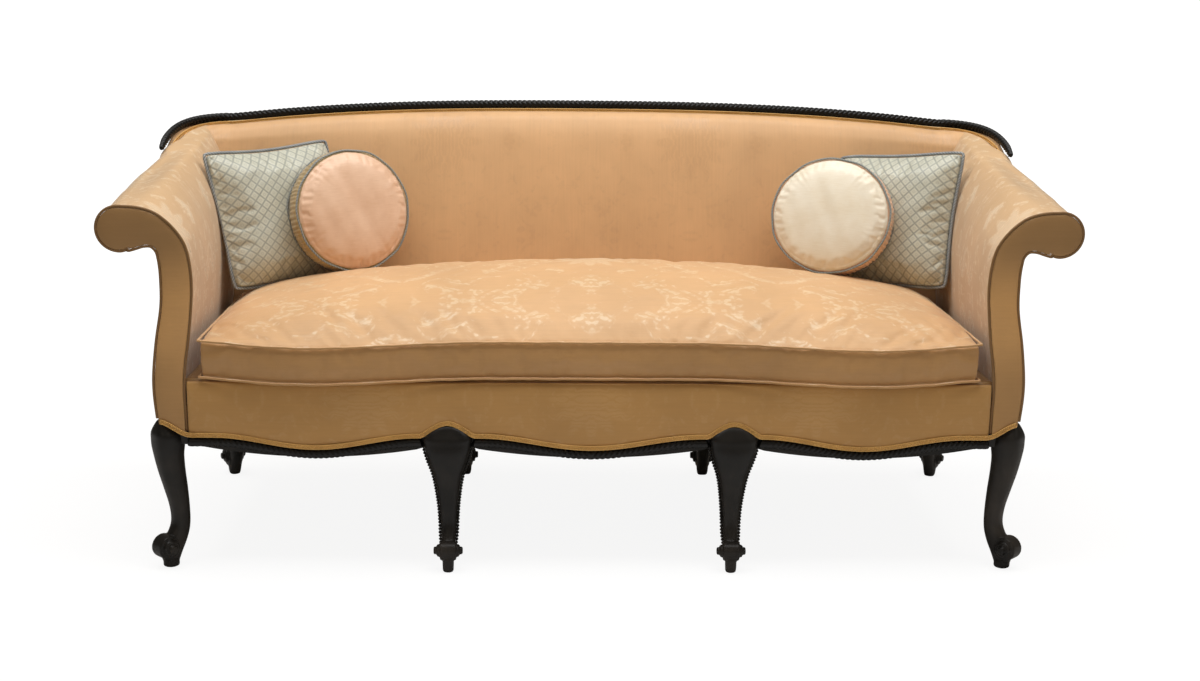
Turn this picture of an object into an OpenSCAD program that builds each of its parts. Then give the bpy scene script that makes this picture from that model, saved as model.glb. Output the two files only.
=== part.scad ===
// Cabriole sofa: an ebonised, rope-carved show-wood frame on eight cabriole legs, upholstered
// in damask, with a loose seat cushion and four scatter cushions. The sofa faces -Y, +X is on
// the right hand as seen from the front, and the soles stand on Z = 0.

/* [Overall] */
// Width over the two arm scrolls
overall_w = 2136; // [2000:10:2260]
// Height of the crest rail's highest point
overall_h = 968; // [930:2:1010]
// Front face of the upholstery to the back face of the rear seat rail
frame_d = 661; // [620:1:700]
// How far the seat frame stands inside the outside of each arm scroll, at the front
frame_inset = 120; // [100:2:140]
// How far each side rail runs in from the front to the rear
frame_taper = 26; // [10:1:40]
// Lean of the back from upright, in degrees
rake = 13; // [8:0.5:16]

/* [Seat frame] */
// Thickness of the seat rails
rail_t = 32; // [24:1:38]
// Height of the top of the seat rails
rail_top = 372; // [366:1:384]
// Height of the lower edge of the side and rear rails
rail_foot = 287; // [280:1:294]
// Depth of the upholstery that stands in front of the front rail
front_pad_t = 14; // [10:1:18]
// Height of the braid line in the middle of each swag
swag_low = 281; // [272:1:288]
// Rise of the braid line from the middle of a swag to its ends
swag_rise = 31; // [20:1:36]
// Rise of the braid line over a centre leg
dome_rise = 29; // [20:1:32]
// Rise of the braid line at the outer corners
corner_rise = 28; // [20:1:32]
// Height of the wood that shows under the braid line
show_wood_h = 22; // [16:1:28]
// Width of the square block at the top of a corner leg
corner_block_w = 62; // [54:1:70]
// Width of a rear stile and of its block
stile_w = 50; // [40:1:60]
// Depth of the block of a rear leg
rear_block_d = 41; // [36:1:48]
// Width of a centre leg's head, where it is let into the front rail
mid_head_w = 104; // [90:2:112]
// Strip of front rail that runs on over the centre legs
bridle_strip = 27; // [20:1:32]
// Long side of a corner block
corner_brace = 110; // [90:2:130]
// Section of the two cross rails
cross_rail_w = 45; // [36:1:56]
// Height of the two cross rails
cross_rail_h = 30; // [24:1:36]

/* [Legs] */
// Distance of the centre legs from the middle of the sofa
mid_leg_x = 318; // [300:2:336]
// Distance of the centre rear legs from the middle of the sofa
mid_rear_x = 311; // [296:1:326]
// Forward reach of a leg's toe from its axis
toe_reach = 70; // [60:1:80]
// Half width of a corner leg's knee
knee_half_w = 33; // [28:1:36]
// Half width of a centre leg at the rail
mid_knee_half_w = 52; // [46:1:52]
// Radius of the scroll at the toe
toe_scroll_r = 27; // [22:1:30]
// Radius of the sole pad
sole_r = 13; // [10:0.5:15]
// Angle of a rear leg's toe from straight back
rear_toe_turn = 30; // [20:5:45]

/* [Arms] */
// Radius of the arm scroll at the front
scroll_r = 46; // [42:1:50]
// Height of the middle of the arm scroll
scroll_z = 773; // [755:1:790]
// Width of an arm, from the narrowest part of the seat to the outside of its scroll
arm_w = 200; // [192:1:206]
// Thickness of the padded arm skin
arm_pad_t = 14; // [10:1:16]
// Thickness of the front post of an arm
stump_t = 30; // [24:1:36]
// Thickness of an arm's rails
arm_rail_t = 20; // [16:1:22]
// Thickness of the cloth on the outside
cover_t = 3.5; // [2.5:0.5:5]
// Radius of the piping
piping_r = 3; // [2:0.25:3.5]

/* [Back] */
// Thickness of the padding of the inside back
back_pad_t = 45; // [35:1:55]
// Forward fullness of the inside back
back_belly = 12; // [6:1:18]
// Thickness of the carved crest rail
crest_d = 19; // [14:1:22]
// Drop of the crest rail from the middle to the corners
crest_fall = 38; // [24:1:44]
// Drop of the crest rail round the corner to its end
crest_end_drop = 52; // [40:2:60]
// How far inside the arm scroll the crest rail starts to bend round the corner
crest_inset = 178; // [172:2:184]
// Sideways size of the crest rail's bend
crest_turn_w = 133; // [126:1:140]
// Front to back size of the crest rail's bend
crest_turn_d = 266; // [250:2:280]
// How far behind the front of the rear stiles the crest rail's middle line lies
crest_out = 8.4; // [6:0.4:11]

/* [Cushions] */
// Space between the seat cushion and the narrowest place between the arms, on each side
cushion_side_gap = 14; // [14:1:28]
// Depth of the seat that the padding of the back takes behind the seat cushion
cushion_back_gap = 81; // [79:1:101]
// Height of the seat cushion's boxing
boxing_h = 88; // [70:1:96]
// Rise of the seat cushion's crown over its boxing
crown_h = 106; // [80:2:112]
// How far the seat cushion's front bows out over each outer third
cushion_bow = 22; // [10:1:26]
// How far that bow droops over the fixed seat's front edge
cushion_droop = 10; // [4:1:12]
// Height of the top of the fixed seat at its front
deck_z = 440; // [430:1:452]
// Fall of the fixed seat from front to rear
deck_fall = 30; // [16:1:32]
// Side of a square scatter cushion
square_w = 348; // [330:2:356]
// Thickness of a square scatter cushion at its middle
square_t = 104; // [80:2:120]
// Diameter of a round scatter cushion
round_d = 268; // [256:2:276]
// Thickness of a round scatter cushion's band
round_band = 64; // [50:2:76]
// Rise of each face of a round scatter cushion
round_crown = 20; // [12:1:26]
// Radius of the rope cord on the scatter cushions
cord_r = 4; // [3:0.25:5]

/* [Hidden] */

// Common clearances, overruns and counts
gap = 0.3;
over = 5;
thin = 2;
sides = 16;

// Places worked out from the sizes above, measured from the front face of the upholstery
half_w = overall_w / 2;
rail_y = front_pad_t;
rail_back_y = rail_y + rail_t;
rear_rail_y = frame_d - rail_t;
rear_block_y = frame_d - rear_block_d;
front_out_x = half_w - frame_inset;
rear_out_x = front_out_x - frame_taper;
corner_x = front_out_x - corner_block_w / 2;
corner_y = rail_y + corner_block_w / 2;
corner_block_y = rail_y + corner_block_w;
mid_leg_y = rail_back_y - toe_reach * 0.157;
rear_leg_x = rear_out_x - stile_w / 2;
rear_leg_y = frame_d - rear_block_d * 0.4;
bay_half = (front_out_x - mid_leg_x) * 0.46;
bay_mid = mid_leg_x + bay_half;
dome_half = mid_head_w * 0.53;
corner_half = corner_block_w * 1.37;
mid_head_z = rail_top - bridle_strip;
seat_half_w = half_w - arm_w;
cushion_half_w = seat_half_w - cushion_side_gap;
cushion_d = frame_d - cushion_back_gap;
crest_turn_x = half_w - crest_inset;
crest_y = rear_rail_y + (overall_h - rail_top) * tan(rake) + crest_out;
arm_h = scroll_z - rail_top;

// Front reach of the centre legs' scrolls and rear reach of the crest rail
toe_mid_share = 0.66;
front_reach = toe_reach * toe_mid_share + toe_scroll_r - mid_leg_y;
mid_y = (crest_y + crest_d / 2 - front_reach) / 2;

// General shapes
function mix(a, b, t) = a + (b - a) * t;
function ease(t) = let (c = max(0, min(1, t))) c * c * (3 - 2 * c);
function spline(p, i, t) =
    let (a = p[max(i - 1, 0)], b = p[i], c = p[i + 1], d = p[min(i + 2, len(p) - 1)])
    (2 * b + (c - a) * t + (2 * a - 5 * b + 4 * c - d) * t * t + (3 * b - a - 3 * c + d) * t * t * t) / 2;
function curve(p, n) =
    concat([for (i = [0:len(p) - 2]) for (k = [0:n - 1]) spline(p, i, k / n)], [p[len(p) - 1]]);
function side_of(p, q) = let (d = q - p) [d[1], -d[0]] / norm(d);
function inset(line, d) =
    [for (i = [0:len(line) - 1])
        line[i] + d * side_of(line[max(i - 1, 0)], line[min(i + 1, len(line) - 1)])];
function reverse(p) = [for (i = [len(p) - 1:-1:0]) p[i]];
function arc(c, r, from, to, n) = [for (i = [0:n]) let (a = mix(from, to, i / n)) c + r * [cos(a), sin(a)]];
function power(v, e) = sign(v) * pow(abs(v), e);
function share_at(table, v) = lookup(v, [for (s = table) [s[1], s[0]]]);
function flip(p) = [for (q = reverse(p)) [-q[0], q[1], q[2]]];

// The end of a ring that is folded on itself, so that its second half runs back beside its first
function fold_cap(n, base, first) =
    [for (j = [0:floor((n - 1) / 2) - 1]) for (half = [0, 1])
        let (a = base + j, b = a + 1, c = base + n - 2 - j, d = c + 1,
            f = half == 0 ? [a, b, d] : [b, c, d])
        first ? reverse(f) : f];

// A closed skin through rings of points, clockwise as seen from the first towards the last.
// Folded rings, such as the two sides of a cloth, have ends that run across the fold.
module loft(rings, folded = false) {
    n = len(rings[0]);
    last = (len(rings) - 1) * n;
    polyhedron(
        points = [for (r = rings) each r],
        faces = concat(
            folded ? fold_cap(n, 0, true) : [[for (j = [n - 1:-1:0]) j]],
            [for (i = [0:len(rings) - 2]) for (j = [0:n - 1]) for (half = [0, 1])
                let (a = i * n + j, b = i * n + (j + 1) % n)
                half == 0 ? [a, b, b + n] : [a, b + n, a + n]],
            folded ? fold_cap(n, last, false) : [[for (j = [0:n - 1]) last + j]]));
}

// A tube of round section along a path in space. The frame keeps its up direction near +Z
// or, on a path that stands upright, near -Y.
function path_dir(p, i, shut) =
    let (n = len(p),
        a = shut ? p[(i + n - 1) % n] : p[max(i - 1, 0)],
        b = shut ? p[(i + 1) % n] : p[min(i + 1, n - 1)])
    (b - a) / norm(b - a);
function tube_ring(c, dir, up, rx, rz, n) =
    let (s = cross(dir, up), side = s / norm(s), top = cross(side, dir))
    [for (k = [0:n - 1]) c + side * rx * cos(360 * k / n) + top * rz * sin(360 * k / n)];
module tube(p, rx, rz, up, n) {
    loft([for (i = [0:len(p) - 1]) tube_ring(p[i], path_dir(p, i, false), up, rx, rz, n)], true);
}
module ring_tube(p, r, up, n) {
    m = len(p);
    polyhedron(
        points = [for (i = [0:m - 1]) each tube_ring(p[i], path_dir(p, i, true), up, r, r, n)],
        faces = [for (i = [0:m - 1]) for (j = [0:n - 1]) for (half = [0, 1])
            let (a = i * n + j, b = i * n + (j + 1) % n,
                c = ((i + 1) % m) * n + (j + 1) % n, d = ((i + 1) % m) * n + j)
            half == 0 ? [a, b, c] : [a, c, d]]);
}

// Puts a piece, drawn from the front face, in the part's own frame
module placed() {
    translate([0, -mid_y, 0]) children();
}
module both(side) {
    placed() mirror([side < 0 ? 1 : 0, 0, 0]) children();
}
module ebony() {
    color([0.09, 0.08, 0.08]) children();
}
module beech() {
    color([0.76, 0.62, 0.42]) children();
}
module damask() {
    color([0.84, 0.64, 0.42]) children();
}
module braid() {
    color([0.72, 0.55, 0.25]) children();
}
// Extrudes an outline drawn in X and Z from one Y to another
module slab(from_y, to_y) {
    translate([0, to_y, 0]) rotate([90, 0, 0]) linear_extrude(height = to_y - from_y) children();
}
// Extrudes an outline drawn in Y and Z from one X to another
module board(from_x, to_x) {
    translate([from_x, 0, 0]) rotate([90, 0, 90]) linear_extrude(height = to_x - from_x) children();
}
// A local frame that leans with the back: Y = 0 is the front of the stiles
module leaning() {
    translate([0, rear_rail_y, rail_top]) rotate([-rake, 0, 0]) children();
}
function lean_s(z) = (z - rail_top) / cos(rake);
function stile_y(z) = rear_rail_y + (z - rail_top) * tan(rake);
function back_face_y(z) = stile_y(z) - (back_pad_t + thin + gap) / cos(rake);

// The braid line along the front: swags between the legs, domes over the knees
function bump(d, half) = abs(d) >= half ? 0 : (1 + cos(180 * d / half)) / 2;
function swag(x) =
    let (a = abs(x),
        bay = a < mid_leg_x ? a / mid_leg_x : (a - bay_mid) / bay_half)
    swag_low + swag_rise * bay * bay
    + dome_rise * bump(a - mid_leg_x, dome_half)
    + corner_rise * bump(a - front_out_x - scroll_r * 0.13, corner_half);
function span(from, to, n) = [for (i = [0:n]) mix(from, to, i / n)];
// Places along the front, closer together over the domes
function front_steps(half) =
    let (dome = [for (d = span(-1, 1, 12)) if (abs(d) < 1) d * dome_half])
    concat(
        span(-half, -mid_leg_x - dome_half, 9), [for (d = dome) -mid_leg_x + d],
        span(-mid_leg_x + dome_half, mid_leg_x - dome_half, 9), [for (d = dome) mid_leg_x + d],
        span(mid_leg_x + dome_half, half, 9));

// The crest rail's top line and its bend in plan
function crest_z(x) = overall_h - crest_fall * pow(abs(x) / crest_turn_x, 2.6);
function crest_back_y(x) = crest_y - (overall_h - crest_z(x)) * tan(rake);
function turn_z(a) = crest_z(crest_turn_x) - crest_end_drop * pow(1 - sin(a), 2.4);
function turn_at(a) = [
    crest_turn_x + crest_turn_w * cos(a),
    crest_back_y(crest_turn_x) - crest_turn_d * (1 - sin(a)), turn_z(a)];
function turn_angle(y) = asin(min(1, max(0, 1 - (crest_back_y(crest_turn_x) - y) / crest_turn_d)));
function turn_out(a) =
    let (n = [crest_turn_d * cos(a), crest_turn_w * sin(a), 0]) n / norm(n);
function turn_angle_x(x) = acos(max(0, (abs(x) - crest_turn_x) / crest_turn_w));
crest_half = concat(
    [for (x = span(0, crest_turn_x, 7)) [x, crest_back_y(x), crest_z(x)]],
    [for (a = [80:-16:0]) turn_at(a)]);
crest_line = concat(flip([for (i = [1:len(crest_half) - 1]) crest_half[i]]), crest_half);

// Seat frame

module front_rail() {
    ebony() placed() difference() {
        slab(rail_y, rail_back_y) polygon(concat(
            [[-corner_x + corner_block_w / 2, rail_top]],
            [for (x = span(-corner_x + corner_block_w / 2, corner_x - corner_block_w / 2, 64))
                [x, swag(x) - show_wood_h]],
            [[corner_x - corner_block_w / 2, rail_top]]));
        for (s = [-1, 1])
            translate([s * mid_leg_x - mid_head_w / 2, rail_y - over, 0])
                cube([mid_head_w, rail_t + 2 * over, mid_head_z]);
        for (s = [-1, 1]) brace_screw_hole_front(s);
    }
}

module rear_rail() {
    beech() placed() difference() {
        translate([-rear_out_x + stile_w, rear_rail_y, rail_foot])
            cube([2 * (rear_out_x - stile_w), rail_t, rail_top - rail_foot]);
        for (s = [-1, 1])
            translate([s * mid_rear_x - stile_w / 2, rear_rail_y - over, rail_foot - over])
                cube([stile_w, rail_t + 2 * over, rail_top - rail_foot + 2 * over]);
    }
}

module side_rail(side) {
    beech() both(side) translate([0, 0, rail_foot]) linear_extrude(height = rail_top - rail_foot)
        polygon([
            [front_out_x - rail_t, corner_block_y], [front_out_x, corner_block_y],
            [rear_out_x, rear_block_y], [rear_out_x - rail_t, rear_block_y]]);
}

// Legs

// Height, back, front and half width of a leg, as shares of its height, toe reach and knee
corner_leg_shares = [
    [0.00, 0.32, 0.70, 0.38], [0.03, 0.26, 0.76, 0.44], [0.09, 0.12, 0.84, 0.50],
    [0.16, -0.06, 0.80, 0.54], [0.23, -0.17, 0.52, 0.56], [0.30, -0.20, 0.38, 0.60],
    [0.40, -0.19, 0.44, 0.66], [0.52, -0.17, 0.62, 0.78], [0.64, -0.15, 0.80, 0.90],
    [0.74, -0.14, 0.92, 0.98], [0.81, -0.13, 0.96, 1.00], [0.87, -0.05, 0.95, 0.95],
    [0.91, 0.06, 0.93, 0.84], [0.95, 0.20, 0.85, 0.62], [0.985, 0.42, 0.76, 0.34],
    [1.00, 0.54, 0.70, 0.15]];
mid_leg_shares = [
    [0.00, 0.53, 0.85, 0.21], [0.03, 0.46, 0.92, 0.24], [0.09, 0.30, 0.96, 0.25],
    [0.16, 0.02, 0.82, 0.29], [0.23, -0.15, 0.54, 0.34], [0.30, -0.20, 0.40, 0.36],
    [0.40, -0.20, 0.38, 0.40], [0.49, -0.18, 0.48, 0.46], [0.58, -0.16, 0.62, 0.54],
    [0.66, -0.15, 0.73, 0.65], [0.74, -0.15, 0.80, 0.83], [0.81, -0.15, 0.83, 0.96],
    [0.87, -0.15, 0.80, 0.98], [0.895, -0.05, 0.78, 0.84], [0.93, 0.02, 0.74, 0.58],
    [0.96, 0.10, 0.66, 0.37], [0.985, 0.14, 0.56, 0.15], [1.00, 0.20, 0.44, 0.04]];
rear_leg_shares = [
    [0.00, 0.28, 0.65, 0.38], [0.03, 0.22, 0.71, 0.44], [0.09, 0.08, 0.78, 0.48],
    [0.16, -0.09, 0.72, 0.52], [0.23, -0.19, 0.48, 0.55], [0.32, -0.25, 0.30, 0.58],
    [0.44, -0.26, 0.28, 0.62], [0.56, -0.27, 0.28, 0.67], [0.68, -0.28, 0.28, 0.71],
    [0.80, -0.29, 0.28, 0.73], [0.86, -0.29, 0.28, 0.74]];
corner_leg_h = rail_top - bridle_strip + thin / 2;
mid_leg_h = swag_low + swag_rise + dome_rise - thin / 2;

// Horizontal sections of a leg, rounded squares that reach along -Y
module leg_body(shares, h, half_w) {
    loft([for (s = shares)
        let (back = s[1] * toe_reach, front = s[2] * toe_reach, w = s[3] * half_w,
            e = s[0] > 0.8 ? 0.7 : 0.8)
        [for (k = [0:sides - 1])
            let (a = -360 * k / sides)
            [w * power(cos(a), e), -mix(back, front, 0.5) + (front - back) / 2 * power(sin(a), e), s[0] * h]]]);
}

// The scroll that curls up over the toe, with a stepped disc and a boss at each end
module toe_scroll(at, body_half) {
    translate([0, -at, toe_scroll_r * 1.78]) rotate([0, 90, 0]) {
        cylinder(r = toe_scroll_r, h = 2 * body_half, center = true, $fn = 48);
        cylinder(r = toe_scroll_r * 0.66, h = 2 * body_half * 1.36, center = true, $fn = 48);
        cylinder(r = toe_scroll_r * 0.32, h = 2 * body_half * 1.8, center = true, $fn = 48);
    }
}

module sole(at) {
    translate([0, -at, 0]) cylinder(r = sole_r, h = toe_scroll_r * 0.4, $fn = 48);
}

module corner_leg(side) {
    ebony() both(side) union() {
        translate([corner_x, corner_y, 0]) rotate([0, 0, 45]) {
            leg_body(corner_leg_shares, corner_leg_h, knee_half_w);
            toe_scroll(toe_reach * 0.68, knee_half_w * 0.54);
            sole(toe_reach * 0.51);
        }
        translate([corner_x - corner_block_w / 2, rail_y, rail_foot])
            cube([corner_block_w, corner_block_w, rail_top - rail_foot]);
    }
}

module front_mid_leg(side) {
    ebony() both(side) union() {
        translate([mid_leg_x, mid_leg_y, 0]) {
            leg_body(mid_leg_shares, mid_leg_h, mid_knee_half_w);
            toe_scroll(toe_reach * toe_mid_share, knee_half_w * 0.55);
            sole(toe_reach * 0.69);
        }
        translate([mid_leg_x - mid_head_w / 2, rail_y, rail_foot])
            cube([mid_head_w, rail_t, mid_head_z - rail_foot]);
    }
}

module rear_leg(side, at_x, turn) {
    ebony() both(side) union() {
        translate([at_x, rear_leg_y, 0]) rotate([0, 0, 180 - turn]) {
            leg_body(rear_leg_shares, corner_leg_h, knee_half_w);
            toe_scroll(toe_reach * 0.60, knee_half_w * 0.54);
            sole(toe_reach * 0.465);
        }
        translate([at_x - stile_w / 2, rear_block_y, rail_foot])
            cube([stile_w, rear_block_d, rail_top - rail_foot]);
        translate([at_x - stile_w / 2, 0, 0]) leaning_stile();
    }
}

// The raked part of a rear leg, which thins towards the underside of the top rail
stile_top = crest_z(crest_turn_x) - crest_d - corner_brace * 0.55;
function outer_back_y(z) =
    mix(frame_d, crest_y + crest_d / 2 - cover_t - gap, (z - rail_top) / (overall_h - crest_d - rail_top));
module leaning_stile() {
    board(0, stile_w) polygon([
        [rear_rail_y, rail_top - thin], [frame_d, rail_top - thin], [frame_d, rail_top],
        [outer_back_y(stile_top), stile_top], [stile_y(stile_top), stile_top],
        [rear_rail_y, rail_top]]);
}

// Braces inside the seat frame

brace_z = rail_top - corner_brace * 0.5;
brace_h = corner_brace * 0.36;
screw_r = 2.5;
screw_l = 44;
screw_head_r = 5;
screw_bite = 14;
brace_x = front_out_x - corner_block_w;
module brace_screw_hole_front(s) {
    translate([s * (brace_x - corner_brace * 0.4), rail_back_y - screw_bite - gap, brace_z + brace_h / 2])
        rotate([-90, 0, 0]) cylinder(r = screw_r, h = screw_bite + over, $fn = 24);
}
module brace_screw_front(s) {
    translate([s * (brace_x - corner_brace * 0.4), rail_back_y - screw_bite, brace_z + brace_h / 2])
        rotate([-90, 0, 0]) {
            cylinder(r = screw_r, h = screw_l, $fn = 24);
            translate([0, 0, screw_l]) cylinder(r1 = screw_r, r2 = screw_head_r, h = screw_r, $fn = 24);
        }
}
module brace_front(s) {
    difference() {
        translate([0, 0, brace_z]) linear_extrude(height = brace_h)
            polygon([
                [s * brace_x, rail_back_y], [s * (brace_x - corner_brace), rail_back_y],
                [s * (brace_x - corner_brace), rail_back_y + corner_brace * 0.2],
                [s * brace_x, rail_back_y + corner_brace * 0.8]]);
        translate([s * (brace_x - corner_brace * 0.4), rail_back_y - over, brace_z + brace_h / 2])
            rotate([-90, 0, 0]) {
                cylinder(r = screw_r + gap, h = corner_brace, $fn = 24);
                translate([0, 0, over + screw_l - screw_bite])
                    cylinder(r = screw_head_r + gap, h = corner_brace, $fn = 24);
            }
    }
}
module brace_rear(s) {
    translate([0, 0, brace_z]) linear_extrude(height = brace_h)
        polygon([
            [s * (rear_out_x - stile_w), rear_rail_y],
            [s * (rear_out_x - stile_w - corner_brace), rear_rail_y],
            [s * (rear_out_x - stile_w - corner_brace), rear_rail_y - corner_brace * 0.2],
            [s * (rear_out_x - stile_w), rear_rail_y - corner_brace * 0.8]]);
}
module corner_blocks() {
    beech() placed() for (s = [-1, 1]) {
        brace_front(s);
        brace_rear(s);
    }
}
module block_screws() {
    color([0.5, 0.5, 0.52]) placed() for (s = [-1, 1]) brace_screw_front(s);
}
module cross_rails() {
    beech() placed() for (s = [-1, 1])
        translate([s * mid_rear_x - cross_rail_w / 2, rail_back_y, rail_foot + thin * 4])
            cube([cross_rail_w, rear_block_y - rail_back_y, cross_rail_h]);
}

// Seat filling

web_w = 50;
web_pitch = web_w * 3.92;
web_z = rail_foot + thin * 2;
web_count = 9;
web_rows = 4;
spring_r = 38;
spring_wire = 3;
function web_x(i) = (i - (web_count - 1) / 2) * web_pitch;
function web_row_y(j) = rail_back_y + web_w * (1.7 + 2.7 * j);
function side_inner_x(y) =
    mix(front_out_x, rear_out_x, (y - corner_block_y) / (rear_block_y - corner_block_y)) - rail_t;
function across(from_y, to_y) = [
    [-side_inner_x(from_y), from_y], [side_inner_x(from_y), from_y],
    [side_inner_x(to_y), to_y], [-side_inner_x(to_y), to_y]];
module seat_webbing() {
    color([0.55, 0.42, 0.25]) placed() translate([0, 0, web_z]) linear_extrude(height = thin) {
        for (i = [0:web_count - 1])
            translate([web_x(i) - web_w / 2, rail_back_y]) square([web_w, rear_rail_y - rail_back_y]);
        for (j = [0:web_rows - 1])
            polygon(across(web_row_y(j) - web_w / 2, web_row_y(j) + web_w / 2));
    }
}

// An hourglass spring, drawn as the waisted skin that its wire coils lie in
spring_low = web_z + thin;
spring_h = rail_top - spring_low;
module hourglass() {
    rotate_extrude($fn = 32) polygon(concat(
        [for (t = span(0, 1, 8)) [spring_r * (0.55 + 0.45 * pow(2 * t - 1, 2)), t * spring_h]],
        [for (t = span(1, 0, 8)) [spring_r * (0.55 + 0.45 * pow(2 * t - 1, 2)) - spring_wire, t * spring_h]]));
}
module seat_springs() {
    color([0.45, 0.33, 0.22]) placed() for (i = [0:web_count - 1]) for (j = [0:web_rows - 1])
        translate([web_x(i), web_row_y(j), spring_low]) hourglass();
}

// The fixed seat lies between the arms' padding and falls towards the back
function deck_half(shares) = seat_half_w + arm_w * shares[0][0] - over * 0.8;
function deck_plan() =
    let (front = deck_half(inner_front_shares), rear = deck_half(inner_rear_shares))
    [[-front, rail_y + gap], [front, rail_y + gap], [rear, rear_rail_y - gap], [-rear, rear_rail_y - gap]];
function deck_at(y) = deck_z - deck_fall * max(0, y) / rear_rail_y;
module spring_hessian() {
    color([0.66, 0.52, 0.33]) placed() translate([0, 0, rail_top]) linear_extrude(height = thin)
        polygon(deck_plan());
}
module seat_deck() {
    damask() placed() intersection() {
        board(-front_out_x, front_out_x) polygon([
            [0, rail_top + thin], [rear_rail_y, rail_top + thin],
            [rear_rail_y, deck_at(rear_rail_y)], [0, deck_at(0)]]);
        linear_extrude(height = overall_h) polygon(deck_plan());
    }
}
module dust_cover() {
    color([0.12, 0.12, 0.12]) placed() translate([0, 0, rail_foot]) linear_extrude(height = thin / 2)
        difference() {
            polygon(across(rail_back_y, rear_block_y));
            for (s = [-1, 1]) translate([s * corner_x, corner_y, 0])
                square(corner_block_w, center = true);
        }
}

// The fixed front of the seat, a padded border with the braid line as its lower edge
border_shares = [[0, 0.1], [0.25, 0.32], [0.55, 0.4], [0.8, 0.3], [0.95, 0.05], [1, -0.3]];
border_half = seat_half_w + arm_w * 0.13 - 2 * piping_r - thin;
border_top = deck_z - cushion_droop * 0.6;
module front_border() {
    damask() placed() loft([for (x = front_steps(border_half))
        let (low = swag(x) + gap)
        concat(
            [for (s = border_shares) [x, -s[1] * front_pad_t, mix(low, border_top, s[0])]],
            [[x, rail_y - gap, border_top], [x, rail_y - gap, low]])]);
}
module front_rope_moulding() {
    rope_r = show_wood_h * 0.42;
    leg_edge = mid_knee_half_w + rope_r * 0.4;
    ebony() placed() for (ends = [
        [-corner_x + corner_block_w * 0.42, -mid_leg_x - leg_edge],
        [-mid_leg_x + leg_edge, mid_leg_x - leg_edge],
        [mid_leg_x + leg_edge, corner_x - corner_block_w * 0.42]])
        tube([for (x = span(ends[0], ends[1], 14)) [x, rail_y * 0.45, swag(x) - show_wood_h * 0.5]],
            rail_y * 0.5, rope_r, [0, 0, 1], 8);
}
gimp_h = 9;
gimp_t = 1.8;
module front_gimp() {
    reach = front_out_x - gap;
    face_y = -front_pad_t * 0.19 - gap;
    braid() placed() slab(face_y - gimp_t, face_y) polygon(concat(
        [for (x = front_steps(reach)) [x, swag(x) + gap]],
        [for (x = reverse(front_steps(reach))) [x, swag(x) + gap + gimp_h]]));
}

// Arms

// The inner line of an arm from the seat rail up, at the front and at the rear: sideways
// places as shares of the scroll's width past the narrowest seat, heights as shares of the
// rise from the rail to the scroll
inner_front_shares = [
    [0.13, 0.005], [0.135, 0.12], [0.11, 0.26], [0.07, 0.38], [0.025, 0.56], [0.005, 0.70],
    [0.02, 0.82], [0.06, 0.91], [0.14, 0.98], [0.25, 1.04], [0.38, 1.085], [0.54, 1.108]];
inner_rear_shares = [
    [0.09, 0.005], [0.09, 0.12], [0.08, 0.26], [0.07, 0.38], [0.06, 0.56], [0.07, 0.70],
    [0.10, 0.84], [0.15, 0.96], [0.21, 1.06], [0.28, 1.15], [0.35, 1.22], [0.41, 1.27]];
outer_front_shares = [
    [0.49, 0.86], [0.39, 0.815], [0.30, 0.735], [0.315, 0.58], [0.385, 0.38], [0.43, 0.2],
    [0.435, 0.08], [0.415, -0.05]];
roll_shares = [
    [0, 1], [0.25, 1], [0.5, 0.97], [0.62, 0.88], [0.70, 0.66], [0.78, 0.42], [0.88, 0.28], [1, 0.23]];
front_scroll_x = half_w - scroll_r - 2 * piping_r - gap;
roll_start = 78;
roll_end = -130;
wing_end = 74;
function arm_place(s) = [seat_half_w + s[0] * arm_w, rail_top + s[1] * arm_h];

arm_front_y = rail_y + gap;
function arm_y(t, z) = mix(arm_front_y, back_face_y(z) - gap * 2, t);
arm_top_z = overall_h - crest_fall - crest_d - scroll_r * 0.5;
// Middle of the arm's roll: it runs straight back from the scroll, then slips in under the crest
function roll_r(t) = scroll_r * lookup(t, roll_shares);
function roll_mid(t) =
    let (y = arm_y(t, arm_top_z), a = turn_angle(y), r = roll_r(t), w = ease((t - 0.6) / 0.18),
        ahead = [front_scroll_x + scroll_r * 0.2 * t, scroll_z + scroll_r * t],
        under = [turn_at(a)[0] - crest_d * 0.8 - r, turn_z(a) - crest_d - gimp_h - r - thin])
    mix(ahead, under, w);
function arm_inner(t) =
    let (c = roll_mid(t), r = roll_r(t))
    concat(
        [for (i = [0:len(inner_front_shares) - 1])
            mix(arm_place(inner_front_shares[i]), arm_place(inner_rear_shares[i]), t)],
        [c + r * [cos(98), sin(98)]]);
function arm_outline(t) =
    let (c = roll_mid(t), r = roll_r(t))
    concat(curve(arm_inner(t), 1), arc(c, r, roll_start, roll_end, 10));
function arm_skin(t) =
    let (line = arm_outline(t), d = min(arm_pad_t, roll_r(t) * 0.7))
    concat(line, reverse(inset(line, d)));

arm_steps = [0, 0.12, 0.25, 0.38, 0.5, 0.6, 0.65, 0.7, 0.74, 0.78, 0.82, 0.86, 0.9, 0.94, 0.97, 1];
module inside_arm(side) {
    damask() both(side) loft([for (t = arm_steps)
        reverse([for (p = arm_skin(t)) [p[0], arm_y(t, p[1]), p[1]]])], true);
}
module arm_roll(side) {
    color([0.5, 0.4, 0.28]) both(side) loft([for (t = [0.06, 0.12, 0.25, 0.38, 0.5, 0.6])
        let (c = roll_mid(t), r = roll_r(t) - arm_pad_t - thin)
        [for (k = [0:11]) let (a = -30 * k)
            [c[0] + r * cos(a), arm_y(t, c[1]), c[1] + r * sin(a)]]]);
}

// Outline of the arm's front, from the foot of the inner line over the scroll to the outer foot
front_inner = arm_outline(0);
front_outer = curve([for (s = outer_front_shares) arm_place(s)], 2);
front_line = concat(front_inner, front_outer);
foot_inner_x = front_inner[0][0];
foot_outer_x = front_outer[len(front_outer) - 1][0];

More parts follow.
